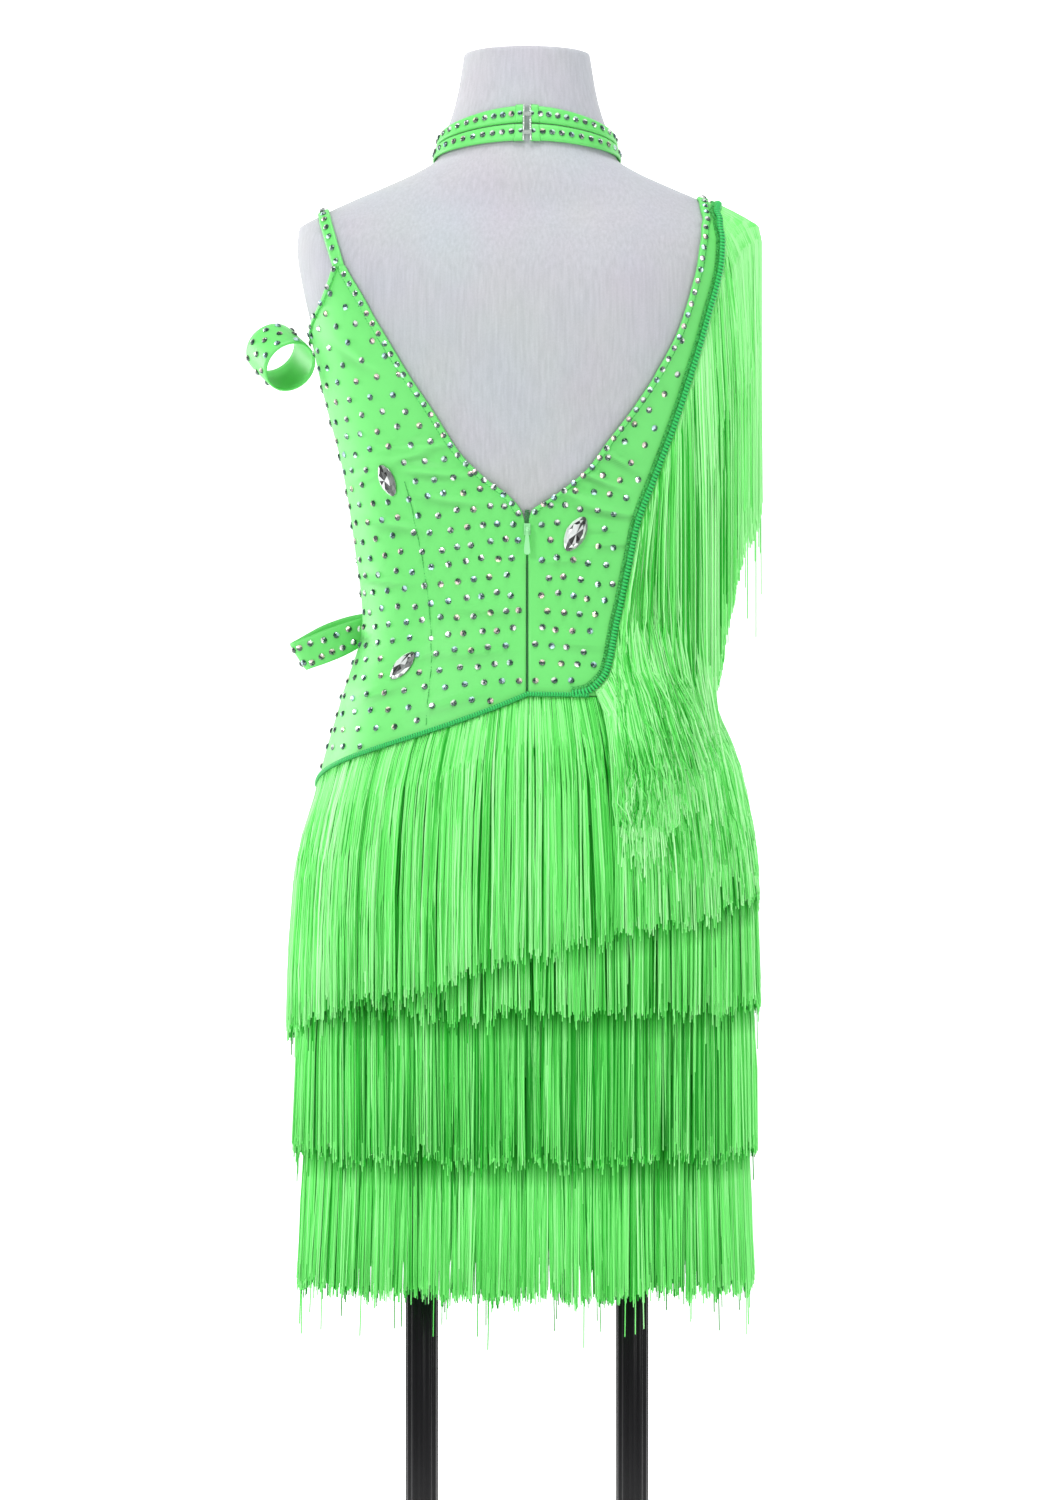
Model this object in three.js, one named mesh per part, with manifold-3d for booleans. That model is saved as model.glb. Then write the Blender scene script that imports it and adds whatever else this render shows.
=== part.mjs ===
// A fringed stretch dance dress, worn by a limbless dress form on a stand with two posts.
// Millimetres, +Z up. The origin is on the floor under the middle of the form.
// The wearer's back faces +Y and the wearer's left is +X.
import * as THREE from 'three';
import Module from 'manifold-3d';
import { mergeVertices } from 'three/addons/utils/BufferGeometryUtils.js';

const wasm = await Module();
wasm.setup();

// Sections of the figure that the cloth lies on, from the thighs up to the top of the neck.
// halfWidth is to each side, front and back are the depths, squareness is the section's exponent.
const FIGURE = [
  { height: 620, halfWidth: 166, front: 94, back: 100, squareness: 2.3 },
  { height: 700, halfWidth: 168.5, front: 98, back: 108, squareness: 2.3 },
  { height: 765, halfWidth: 169.6, front: 101, back: 117, squareness: 2.3 },
  { height: 827, halfWidth: 170, front: 102, back: 122, squareness: 2.3 },
  { height: 905, halfWidth: 160, front: 103, back: 118, squareness: 2.3 },
  { height: 968, halfWidth: 143, front: 96, back: 101, squareness: 2.25 },
  { height: 1030, halfWidth: 126.5, front: 86, back: 84, squareness: 2.2 },
  { height: 1090, halfWidth: 133, front: 92, back: 84, squareness: 2.2 },
  { height: 1147, halfWidth: 142, front: 106, back: 90, squareness: 2.2 },
  { height: 1202, halfWidth: 156, front: 116, back: 97, squareness: 2.3 },
  { height: 1247, halfWidth: 166, front: 104, back: 101, squareness: 2.4 },
  { height: 1290, halfWidth: 176, front: 88, back: 98, squareness: 2.4 },
  { height: 1318, halfWidth: 180, front: 76, back: 88, squareness: 2.4 },
  { height: 1333, halfWidth: 179, front: 68, back: 78, squareness: 2.3 },
  { height: 1342, halfWidth: 165, front: 62, back: 72, squareness: 2.25 },
  { height: 1353, halfWidth: 142, front: 58, back: 68, squareness: 2.2 },
  { height: 1366, halfWidth: 112, front: 56, back: 65, squareness: 2.1 },
  { height: 1378, halfWidth: 86, front: 57, back: 61, squareness: 2.05 },
  { height: 1388, halfWidth: 71.5, front: 59, back: 57, squareness: 2 },
  { height: 1398, halfWidth: 69, front: 60, back: 53, squareness: 2 },
  { height: 1407, halfWidth: 66, front: 60, back: 50, squareness: 2 },
  { height: 1418, halfWidth: 61, front: 60, back: 47, squareness: 2 },
  { height: 1440, halfWidth: 55, front: 60, back: 43, squareness: 2 },
  { height: 1470, halfWidth: 50, front: 60, back: 40, squareness: 2 },
];
const FORM_BOTTOM = 620;
const NECK_TOP = 1470;
const NECK_DOME = 5;

// The cloth lies clear of the form and is one wall; trim lies on it with a seam's gap.
const FORM_EASE = 1.5;
const CLOTH_GAP = 0.3;
const CLOTH_THICKNESS = 1.5;
const TRIM_GAP = 0.6;
const TRIM_THICKNESS = 1.2;
const PIECE_GAP = 0.3;
const CLOTH_FACE = CLOTH_GAP + CLOTH_THICKNESS;
const TRIM_BACK = CLOTH_FACE + TRIM_GAP;
const TRIM_FACE = TRIM_BACK + TRIM_THICKNESS;

const AROUND = 32;
const QUARTER = Math.PI / 2;

const COLOURS = {
  cloth: { color: 0x7ee884, roughness: 0.6, metalness: 0 },
  fringe: { color: 0x74e673, roughness: 0.55, metalness: 0 },
  header: { color: 0x3fbf6a, roughness: 0.6, metalness: 0 },
  form: { color: 0xd3d6dc, roughness: 0.85, metalness: 0 },
  stand: { color: 0x1c1d22, roughness: 0.35, metalness: 0.2 },
  crystal: { color: 0xc9d4d8, roughness: 0.1, metalness: 0.5 },
  silver: { color: 0xb9c2bf, roughness: 0.3, metalness: 0.8 },
};

// One figure measure at a height, on a smooth curve through the table that never overshoots it.
function measure(name, height) {
  const rows = FIGURE;
  const z = Math.min(Math.max(height, rows[0].height), rows[rows.length - 1].height);
  let i = 0;
  while (i < rows.length - 2 && z > rows[i + 1].height) i += 1;
  const slope = (k) => (rows[k + 1][name] - rows[k][name]) / (rows[k + 1].height - rows[k].height);
  const tangent = (k) => {
    if (k === 0) return slope(0);
    if (k === rows.length - 1) return slope(k - 1);
    const below = slope(k - 1);
    const above = slope(k);
    return below * above <= 0 ? 0 : (2 * below * above) / (below + above);
  };
  const step = rows[i + 1].height - rows[i].height;
  const t = (z - rows[i].height) / step;
  const low = rows[i][name] * (1 + 2 * t) * (1 - t) ** 2 + tangent(i) * step * t * (1 - t) ** 2;
  const high = rows[i + 1][name] * t * t * (3 - 2 * t) + tangent(i + 1) * step * t * t * (t - 1);
  return low + high;
}

// The distance from the middle line to the figure. Turn 0 is the back, a quarter turn its left side.
function reach(turn, height) {
  const depth = measure(Math.cos(turn) >= 0 ? 'back' : 'front', height);
  const n = measure('squareness', height);
  const across = Math.abs(Math.sin(turn)) / measure('halfWidth', height);
  const along = Math.abs(Math.cos(turn)) / depth;
  return (across ** n + along ** n) ** (-1 / n);
}

function ringPoint(turn, height, out = 0) {
  const r = reach(turn, height) + out;
  return new THREE.Vector3(r * Math.sin(turn), r * Math.cos(turn), height);
}

// A point of the figure moved out along its normal.
function skinPoint(turn, height, out) {
  const low = Math.max(height - 0.5, FORM_BOTTOM);
  const high = Math.min(height + 0.5, NECK_TOP);
  const up = ringPoint(turn, high).sub(ringPoint(turn, low));
  const round = ringPoint(turn - 0.01, height).sub(ringPoint(turn + 0.01, height));
  const normal = round.cross(up).normalize();
  return ringPoint(turn, height).addScaledVector(normal, out);
}

// The turn at which the figure is x mm from its middle at a height, on its back or its front.
function turnAt(x, height, face = 'back') {
  const side = Math.sign(x) || 1;
  const target = Math.abs(x);
  let turn = QUARTER;
  if (target < measure('halfWidth', height)) {
    let low = 0;
    let high = QUARTER;
    for (let i = 0; i < 30; i += 1) {
      const middle = (low + high) / 2;
      const there = face === 'back' ? middle : Math.PI - middle;
      if (reach(there, height) * Math.sin(middle) < target) low = middle;
      else high = middle;
    }
    turn = (low + high) / 2;
  }
  return side * (face === 'back' ? turn : Math.PI - turn);
}

// A closed solid from quads whose corners are pairs of an inner and an outer point.
// Each edge that only one quad uses gets a rim between its inner and outer points.
function thicken(quads) {
  const points = [];
  const index = new Map();
  const place = (pair) => {
    const numbers = [...pair.inner.toArray(), ...pair.outer.toArray()];
    const key = numbers.map((v) => Math.round(v * 1000) || 0).join();
    if (!index.has(key)) {
      index.set(key, points.length / 2);
      points.push(pair.inner, pair.outer);
    }
    return index.get(key);
  };
  const faces = [];
  const edges = new Map();
  for (const quad of quads) {
    const corners = quad.map(place).filter((c, i, all) => c !== all[(i + 1) % all.length]);
    for (let i = 1; i < corners.length - 1; i += 1) {
      const [a, b, c] = [corners[0], corners[i], corners[i + 1]];
      faces.push([2 * a + 1, 2 * b + 1, 2 * c + 1], [2 * a, 2 * c, 2 * b]);
    }
    corners.forEach((a, i) => {
      const b = corners[(i + 1) % corners.length];
      if (edges.has(`${b},${a}`)) edges.delete(`${b},${a}`);
      else edges.set(`${a},${b}`, [a, b]);
    });
  }
  for (const [a, b] of edges.values()) {
    faces.push([2 * a, 2 * b, 2 * b + 1], [2 * a, 2 * b + 1, 2 * a + 1]);
  }
  return outward(points, faces);
}

// A geometry from points and triangles, turned over if its faces point in.
function outward(points, faces) {
  let volume = 0;
  for (const [a, b, c] of faces) {
    volume += points[a].dot(points[b].clone().cross(points[c]));
  }
  const turned = volume < 0 ? faces.map(([a, b, c]) => [a, c, b]) : faces;
  const geometry = new THREE.BufferGeometry();
  const numbers = points.flatMap((p) => p.toArray());
  geometry.setAttribute('position', new THREE.Float32BufferAttribute(numbers, 3));
  geometry.setIndex(turned.flat());
  return geometry;
}

function gridQuads(grid) {
  const quads = [];
  for (let row = 0; row < grid.length - 1; row += 1) {
    for (let i = 0; i < grid[row].length - 1; i += 1) {
      quads.push([grid[row][i], grid[row][i + 1], grid[row + 1][i + 1], grid[row + 1][i]]);
    }
  }
  return quads;
}

function clothPair(turn, height, back, face) {
  return { inner: skinPoint(turn, height, back), outer: skinPoint(turn, height, face) };
}

// Panels of cloth. A row of a panel's table gives its two edges at one level, going up.
// x is the distance from the middle line; SIDE is the side seam or the top of the shoulder.
const SIDE = 999;
const CENTRE_EDGE = 1.4;

const BACK_LEFT = [
  { x: CENTRE_EDGE, height: 970.5, outerX: SIDE, outerHeight: 901 },
  { x: CENTRE_EDGE, height: 1000, outerX: SIDE, outerHeight: 945 },
  { x: CENTRE_EDGE, height: 1030, outerX: SIDE, outerHeight: 985 },
  { x: CENTRE_EDGE, height: 1060, outerX: SIDE, outerHeight: 1025 },
  { x: CENTRE_EDGE, height: 1090, outerX: SIDE, outerHeight: 1065 },
  { x: 3.8, height: 1108.4, outerX: SIDE, outerHeight: 1100 },
  { x: 14.4, height: 1122, outerX: SIDE, outerHeight: 1130 },
  { x: 32.6, height: 1135.6, outerX: SIDE, outerHeight: 1155 },
  { x: 52.3, height: 1156, outerX: SIDE, outerHeight: 1180 },
  { x: 73.6, height: 1189.5, outerX: SIDE, outerHeight: 1210 },
  { x: 88, height: 1210.8, outerX: SIDE, outerHeight: 1230 },
  { x: 103.2, height: 1236, outerX: SIDE, outerHeight: 1246.6 },
  { x: 109.4, height: 1246.4, outerX: 166.6, outerHeight: 1251 },
  { x: 115.5, height: 1256.8, outerX: 165.5, outerHeight: 1256 },
  { x: 124.8, height: 1274, outerX: 159, outerHeight: 1269 },
  { x: 132.5, height: 1287, outerX: 152.3, outerHeight: 1284 },
  { x: 138.4, height: 1298, outerX: 147.5, outerHeight: 1297.7 },
];

const BACK_RIGHT = [
  { x: -CENTRE_EDGE, height: 969.5, outerX: -SIDE, outerHeight: 968 },
  { x: -CENTRE_EDGE, height: 1000, outerX: -SIDE, outerHeight: 1000 },
  { x: -CENTRE_EDGE, height: 1030, outerX: -SIDE, outerHeight: 1032 },
  { x: -CENTRE_EDGE, height: 1060, outerX: -SIDE, outerHeight: 1064 },
  { x: -CENTRE_EDGE, height: 1090, outerX: -SIDE, outerHeight: 1096 },
  { x: -3, height: 1109.2, outerX: -SIDE, outerHeight: 1120 },
  { x: -15, height: 1118, outerX: -SIDE, outerHeight: 1140 },
  { x: -27.3, height: 1126.6, outerX: -SIDE, outerHeight: 1158 },
  { x: -45.5, height: 1141.8, outerX: -SIDE, outerHeight: 1180 },
  { x: -59.9, height: 1161.5, outerX: -SIDE, outerHeight: 1200 },
  { x: -77.4, height: 1184.3, outerX: -SIDE, outerHeight: 1222 },
  { x: -92.6, height: 1206.4, outerX: -SIDE, outerHeight: 1246 },
  { x: -98.7, height: 1217, outerX: -167.2, outerHeight: 1254 },
  { x: -104.8, height: 1227.8, outerX: -166, outerHeight: 1262 },
  { x: -114, height: 1246.2, outerX: -160, outerHeight: 1276 },
  { x: -120.9, height: 1266.2, outerX: -155, outerHeight: 1290 },
  { x: -127.1, height: 1288.5, outerX: -152, outerHeight: 1306 },
  { x: -131.1, height: 1310.6, outerX: -150.5, outerHeight: 1322 },
  { x: -133.1, height: 1328.6, outerX: -150, outerHeight: 1334 },
  { x: -133, height: 1343.6, outerX: -150, outerHeight: 1343 },
  { x: -132.4, height: 1350.5, outerX: -150, outerHeight: 1346.8 },
  { x: -131.6, height: 1355, outerX: -150, outerHeight: 1348.4 },
  { x: -SIDE, height: 1357.3, outerX: -SIDE, outerHeight: 1349.1 },
];

const FRONT_LEFT = [
  { x: 0, height: 925, outerX: SIDE, outerHeight: 901 },
  { x: 0, height: 960, outerX: SIDE, outerHeight: 945 },
  { x: 0, height: 995, outerX: SIDE, outerHeight: 985 },
  { x: 0, height: 1030, outerX: SIDE, outerHeight: 1025 },
  { x: 0, height: 1065, outerX: SIDE, outerHeight: 1065 },
  { x: 0, height: 1100, outerX: SIDE, outerHeight: 1100 },
  { x: 0, height: 1135, outerX: SIDE, outerHeight: 1130 },
  { x: 0, height: 1165, outerX: SIDE, outerHeight: 1155 },
  { x: 0, height: 1190, outerX: SIDE, outerHeight: 1180 },
  { x: 0, height: 1212, outerX: SIDE, outerHeight: 1210 },
  { x: 0, height: 1228, outerX: SIDE, outerHeight: 1230 },
  { x: 24, height: 1236, outerX: SIDE, outerHeight: 1246.6 },
  { x: 42, height: 1243, outerX: 166.6, outerHeight: 1251 },
  { x: 60, height: 1250, outerX: 165.5, outerHeight: 1256 },
  { x: 92, height: 1266, outerX: 159, outerHeight: 1269 },
  { x: 118, height: 1282, outerX: 152.3, outerHeight: 1284 },
  { x: 138.4, height: 1298, outerX: 147.5, outerHeight: 1297.7 },
];

const FRONT_RIGHT = [
  { x: 0, height: 925, outerX: -SIDE, outerHeight: 968 },
  { x: 0, height: 960, outerX: -SIDE, outerHeight: 1000 },
  { x: 0, height: 995, outerX: -SIDE, outerHeight: 1032 },
  { x: 0, height: 1030, outerX: -SIDE, outerHeight: 1064 },
  { x: 0, height: 1065, outerX: -SIDE, outerHeight: 1096 },
  { x: 0, height: 1100, outerX: -SIDE, outerHeight: 1120 },
  { x: 0, height: 1135, outerX: -SIDE, outerHeight: 1140 },
  { x: 0, height: 1165, outerX: -SIDE, outerHeight: 1158 },
  { x: 0, height: 1190, outerX: -SIDE, outerHeight: 1180 },
  { x: 0, height: 1212, outerX: -SIDE, outerHeight: 1200 },
  { x: 0, height: 1228, outerX: -SIDE, outerHeight: 1222 },
  { x: -24, height: 1236, outerX: -SIDE, outerHeight: 1246 },
  { x: -42, height: 1243, outerX: -167.2, outerHeight: 1254 },
  { x: -60, height: 1250, outerX: -166, outerHeight: 1262 },
  { x: -90, height: 1268, outerX: -160, outerHeight: 1276 },
  { x: -110, height: 1290, outerX: -155, outerHeight: 1290 },
  { x: -122, height: 1312, outerX: -152, outerHeight: 1306 },
  { x: -129, height: 1330, outerX: -150.5, outerHeight: 1322 },
  { x: -131.5, height: 1341, outerX: -150, outerHeight: 1334 },
  { x: -132, height: 1348, outerX: -150, outerHeight: 1342 },
  { x: -132, height: 1353, outerX: -150, outerHeight: 1346.5 },
  { x: -131.6, height: 1356.2, outerX: -150, outerHeight: 1348.4 },
  { x: -SIDE, height: 1357.3, outerX: -SIDE, outerHeight: 1349.1 },
];

// How far each column of a panel is across its row.
const PANEL_COLUMNS = [0, 0.1, 0.21, 0.32, 0.43, 0.54, 0.65, 0.77, 0.89, 1];

// The side and shoulder seams lie a small turn away from the quarter, half the gap on each side.
function edgeTurn(x, height, face) {
  if (Math.abs(x) < SIDE) return turnAt(x, height, face);
  const seam = PIECE_GAP / 2 / measure('halfWidth', height);
  const quarter = face === 'back' ? QUARTER - seam : QUARTER + seam;
  return Math.sign(x) * quarter;
}

function panelGrid(table, face, columns, back = CLOTH_GAP, outer = CLOTH_FACE) {
  return table.map((row) => {
    const near = row.x === 0 ? Math.sign(row.outerX) * Math.PI : edgeTurn(row.x, row.height, face);
    const far = edgeTurn(row.outerX, row.outerHeight, face);
    return columns.map((t) => {
      const height = row.height + (row.outerHeight - row.height) * t;
      return clothPair(near + (far - near) * t, height, back, outer);
    });
  });
}

function backPanel(table) {
  return thicken(gridQuads(panelGrid(table, 'back', PANEL_COLUMNS)));
}

function frontPanel() {
  const left = gridQuads(panelGrid(FRONT_LEFT, 'front', PANEL_COLUMNS));
  const right = gridQuads(panelGrid(FRONT_RIGHT, 'front', PANEL_COLUMNS));
  return thicken([...left, ...right.map((quad) => quad.reverse())]);
}

// A strip along one edge of a panel, of the strip's width, from a first to a last row of its table.
function edgeBinding(table, first, last, width, outerEdge = false) {
  const rows = table.slice(first, last);
  const grid = rows.map((row) => {
    const near = edgeTurn(row.x, row.height, 'back');
    const far = edgeTurn(row.outerX, row.outerHeight, 'back');
    const start = skinPoint(near, row.height, CLOTH_FACE);
    const length = skinPoint(far, row.outerHeight, CLOTH_FACE).distanceTo(start);
    const share = Math.min(width / length, 0.42);
    const ends = outerEdge ? [1 - share, 1] : [0, share];
    return ends.map((t) => {
      const height = row.height + (row.outerHeight - row.height) * t;
      return clothPair(near + (far - near) * t, height, TRIM_BACK, TRIM_FACE);
    });
  });
  return thicken(gridQuads(grid));
}

// The left shoulder strap leaves the top of the back panel, crosses the shoulder and comes down in front.
const STRAP = { innerX: 138.4, outerX: 147.5, topInnerX: 153.6, topOuterX: 162.1, foot: 1299 };
const STRAP_LEVELS = [0, 0.2, 0.4, 0.58, 0.73, 0.85, 0.93, 0.98, 1];

// The height at which the shoulder line is x mm from the middle.
function shoulderHeight(x) {
  let low = 1333;
  let high = 1388;
  for (let i = 0; i < 30; i += 1) {
    const middle = (low + high) / 2;
    if (measure('halfWidth', middle) > x) low = middle;
    else high = middle;
  }
  return low;
}

function shoulderStrap() {
  const row = (level, face) => [
    [STRAP.innerX, STRAP.topInnerX],
    [STRAP.outerX, STRAP.topOuterX],
  ].map(([foot, top]) => {
    const x = foot + (top - foot) * level;
    const height = STRAP.foot + (shoulderHeight(top) - STRAP.foot) * level;
    const turn = level === 1 ? QUARTER : turnAt(x, height, face);
    return clothPair(turn, height, CLOTH_GAP, CLOTH_FACE);
  });
  const back = STRAP_LEVELS.map((level) => row(level, 'back'));
  const front = STRAP_LEVELS.slice(0, -1).reverse().map((level) => row(level, 'front'));
  return thicken(gridQuads([...back, ...front]));
}

// The skirt's foundation is a tube in two pieces, from the bodice's lower edge to the lowest fringe.
const SKIRT_HEM = 650;
const SKIRT_LEVELS = [0, 0.12, 0.25, 0.38, 0.52, 0.68, 0.84, 1];
const BODICE_EDGE = { left: 901, right: 968, back: 970, front: 925 };

// The height of the bodice's lower edge, straight in turn between the four sides.
function bodiceEdge(turn) {
  const wrapped = Math.atan2(Math.sin(turn), Math.cos(turn));
  const side = wrapped >= 0 ? BODICE_EDGE.left : BODICE_EDGE.right;
  const part = Math.abs(wrapped) / QUARTER;
  if (part <= 1) return BODICE_EDGE.back + (side - BODICE_EDGE.back) * part;
  return side + (BODICE_EDGE.front - side) * (part - 1);
}

function skirtHalf(face) {
  const seam = PIECE_GAP / 2 / FIGURE[3].halfWidth;
  const start = face === 'back' ? -QUARTER + seam : QUARTER + seam;
  const steps = AROUND / 2;
  const grid = SKIRT_LEVELS.map((level) => Array.from({ length: steps + 1 }, (_, i) => {
    const turn = start + ((Math.PI - 2 * seam) * i) / steps;
    const top = bodiceEdge(turn) - 2 * PIECE_GAP;
    return clothPair(turn, top + (SKIRT_HEM - top) * level, CLOTH_GAP, CLOTH_FACE);
  }));
  return thicken(gridQuads(grid));
}

// Fringe. A tier's locks hang from a sewn header that goes all round.
// layer is how far its locks stand off the figure; root and hem are heights, or null where they slant.
const LOCK_THICKNESS = 2.4;
const HEADER_WIDTH = 6;
const HEADER_LIFT = 1;
const LOCK_SHARE = 0.84;
const TIERS = [
  { name: 'fringe_tier_top', layer: 13.2, root: null, hem: null },
  { name: 'fringe_tier_second', layer: 9.8, root: 872, hem: 731 },
  { name: 'fringe_tier_third', layer: 6.4, root: 785, hem: 622 },
  { name: 'fringe_tier_lowest', layer: 3, root: 682, hem: 519 },
];
// The top tier's hem slants as its header does.
const TOP_HEM = { back: 775, left: 708, front: 730, right: 822 };
const LOCK_DROPS = [26, 78];

function topHem(turn) {
  const wrapped = Math.atan2(Math.sin(turn), Math.cos(turn));
  const side = wrapped >= 0 ? TOP_HEM.left : TOP_HEM.right;
  const part = Math.abs(wrapped) / QUARTER;
  if (part <= 1) return TOP_HEM.back + (side - TOP_HEM.back) * part;
  return side + (TOP_HEM.front - side) * (part - 1);
}

// A pair of points of a lock that falls from a root: on the figure while that widens, then straight down.
function hangingPair(turn, root, height, layerAt, thickness) {
  let widest = 0;
  let widestHeight = root;
  for (let z = root; z > height - 0.01; z -= 3) {
    const r = reach(turn, z) + layerAt(z);
    if (r >= widest) [widest, widestHeight] = [r, z];
  }
  const here = reach(turn, height) + layerAt(height);
  if (here >= widest - 0.2 && widestHeight - height < 4) {
    const layer = layerAt(height);
    return clothPair(turn, height, layer, layer + thickness);
  }
  const wide = Math.max(widest, here) - reach(turn, height);
  return { inner: ringPoint(turn, height, wide), outer: ringPoint(turn, height, wide + thickness) };
}

// A comb: a header strip, and a lock under every other one of its cells.
function comb(columns, closed) {
  const quads = [];
  const count = columns.length;
  for (let i = 0; i < (closed ? count : count - 1); i += 1) {
    const a = columns[i];
    const b = columns[(i + 1) % count];
    quads.push([a.top, b.top, b.foot, a.foot]);
    if (i % 2 === 0) {
      const left = [a.foot, ...a.chain];
      const right = [b.foot, ...b.chain];
      for (let k = 0; k < left.length - 1; k += 1) {
        quads.push([left[k], right[k], right[k + 1], left[k + 1]]);
      }
    }
  }
  return thicken(quads);
}

function smooth(t) {
  const clamped = Math.min(Math.max(t, 0), 1);
  return clamped * clamped * (3 - 2 * clamped);
}

function tier({ layer, root, hem }) {
  const columns = [];
  const lean = 60;
  for (let i = 0; i < AROUND; i += 1) {
    const middle = ((i + 0.5) * 2 * Math.PI) / AROUND;
    for (const side of [-1, 1]) {
      const turn = middle + (side * LOCK_SHARE * Math.PI) / AROUND;
      const top = root ?? bodiceEdge(turn);
      const foot = top - HEADER_WIDTH;
      const end = (hem ?? topHem(middle)) + 4 * Math.sin(i * 2.4);
      const layerAt = (z) => TRIM_BACK + (layer - TRIM_BACK) * smooth((foot - z) / lean);
      const tip = middle + (side * LOCK_SHARE * 0.9 * Math.PI) / AROUND;
      const heights = [...LOCK_DROPS.map((drop) => foot - drop), end];
      columns.push({
        top: clothPair(turn, top, TRIM_BACK, TRIM_BACK + LOCK_THICKNESS),
        foot: clothPair(turn, foot, TRIM_BACK, TRIM_BACK + LOCK_THICKNESS),
        chain: heights.map((z) => {
          const there = z === end ? tip : turn;
          return hangingPair(there, foot, z, layerAt, LOCK_THICKNESS);
        }),
      });
    }
  }
  return comb(columns, true);
}

// The shoulder's header climbs the back beside the neckline and crosses the shoulder to the front.
// falls is the turn in degrees at which the strands from there hang, long is how far they drop.
const SHOULDER_HEADER = [
  { x: -50.7, height: 976, face: 'back', falls: -29, long: 196 },
  { x: -59.9, height: 989, face: 'back', falls: -35, long: 196 },
  { x: -66.2, height: 1021.5, face: 'back', falls: -40, long: 200 },
  { x: -74.7, height: 1062, face: 'back', falls: -45, long: 208 },
  { x: -83.1, height: 1103, face: 'back', falls: -49, long: 216 },
  { x: -93.8, height: 1132, face: 'back', falls: -53, long: 222 },
  { x: -105.3, height: 1163, face: 'back', falls: -57, long: 226 },
  { x: -117.4, height: 1198, face: 'back', falls: -61, long: 228 },
  { x: -130.4, height: 1239.6, face: 'back', falls: -65, long: 230 },
  { x: -142, height: 1280.5, face: 'back', falls: -71, long: 232 },
  { x: -146.4, height: 1328, face: 'back', falls: -80, long: 232 },
  { x: -146, height: 1345, face: 'back', falls: -86, long: 230 },
  { x: -SIDE, height: 1351, face: 'back', falls: -91, long: 226 },
  { x: -146, height: 1346, face: 'front', falls: -97, long: 224 },
  { x: -147, height: 1328, face: 'front', falls: -104, long: 220 },
  { x: -150, height: 1300, face: 'front', falls: -112, long: 214 },
  { x: -154, height: 1272, face: 'front', falls: -120, long: 206 },
];
const SHOULDER_LOCKS = 40;
const SHOULDER_DROPS = [0.05, 0.12, 0.22, 0.48, 0.74, 1];
const HIP_LAYER = { above: 5.6, below: 17.4, from: 1010, to: 968 };

// One value of the shoulder's table, between its rows, at t from 0 to 1 along it.
function alongHeader(t) {
  const place = Math.min(Math.max(t, 0), 1) * (SHOULDER_HEADER.length - 1);
  const i = Math.min(Math.floor(place), SHOULDER_HEADER.length - 2);
  const part = place - i;
  const [a, b] = [SHOULDER_HEADER[i], SHOULDER_HEADER[i + 1]];
  const mix = (u, v) => u + (v - u) * part;
  const turnOf = (row) => edgeTurn(row.x, row.height, row.face);
  return {
    turn: mix(turnOf(a), turnOf(b)),
    height: mix(a.height, b.height),
    falls: THREE.MathUtils.degToRad(mix(a.falls, b.falls)),
    long: mix(a.long, b.long),
  };
}

function shoulderFringe() {
  const columns = [];
  const { above, below, from, to } = HIP_LAYER;
  const layerAt = (z) => above + (below - above) * smooth((from - z) / (from - to));
  const rim = TRIM_BACK + HEADER_LIFT;
  for (let i = 0; i < SHOULDER_LOCKS; i += 1) {
    for (const side of [0.08, 0.92]) {
      const spot = alongHeader((i + side) / SHOULDER_LOCKS);
      const outTurn = -HEADER_WIDTH / reach(spot.turn, spot.height);
      const steep = Math.cos(spot.turn) > 0 ? 1 : -1;
      const foot = { turn: spot.turn + outTurn * 0.8 * steep, height: spot.height - 3 };
      columns.push({
        top: clothPair(spot.turn, spot.height, rim, rim + LOCK_THICKNESS),
        foot: clothPair(foot.turn, foot.height, rim, rim + LOCK_THICKNESS),
        chain: SHOULDER_DROPS.map((share) => {
          const drop = spot.long * share;
          const turn = foot.turn + (spot.falls - foot.turn) * smooth(share / 0.5);
          return hangingPair(turn, foot.height, foot.height - drop, layerAt, LOCK_THICKNESS);
        }),
      });
    }
  }
  return comb(columns, false);
}

// The form: one whole body with a flat foot and a low domed top.
function dressForm() {
  const levels = FIGURE.map((row) => row.height);
  const between = [660, 735, 797, 865, 885, 925, 945, 983, 998, 1014, 1048, 1070, 1110, 1130, 1165, 1185,
    1225, 1268, 1304, 1326, 1338, 1347, 1359];
  const rows = [...levels, ...between].sort((a, b) => a - b);
  const points = [new THREE.Vector3(0, 0, FORM_BOTTOM)];
  for (const height of rows) {
    for (let i = 0; i < AROUND; i += 1) {
      points.push(skinPoint((i * 2 * Math.PI) / AROUND, height, -FORM_EASE).setZ(height));
    }
  }
  const top = points.length;
  points.push(new THREE.Vector3(0, -10, NECK_TOP + NECK_DOME));
  const faces = [];
  for (let i = 0; i < AROUND; i += 1) {
    const next = (i + 1) % AROUND;
    faces.push([0, 1 + i, 1 + next]);
    for (let row = 0; row < rows.length - 1; row += 1) {
      const [a, b] = [1 + row * AROUND + i, 1 + row * AROUND + next];
      faces.push([a, a + AROUND, b], [b, a + AROUND, b + AROUND]);
    }
    faces.push([top - AROUND + i, top, top - AROUND + next]);
  }
  return outward(points, faces);
}

// The collar's two bands circle the neck, lower in front, and hook together at the back.
const COLLAR = { low: 1387, high: 1408, lowTilt: 8.5, backRise: 15.6, frontDrop: 7, slit: 0.7 };
const COLLAR_GAP_TURN = 0.045;
const COLLAR_STEPS = 36;
const TAB = { inner: 0.042, outer: 0.19, lift: 1.2 };

function collarHeight(turn, level) {
  const c = Math.cos(turn);
  const low = COLLAR.low + COLLAR.lowTilt * c;
  const high = COLLAR.high + (c > 0 ? COLLAR.backRise : COLLAR.frontDrop) * c;
  return low + (high - low) * level;
}

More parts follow.
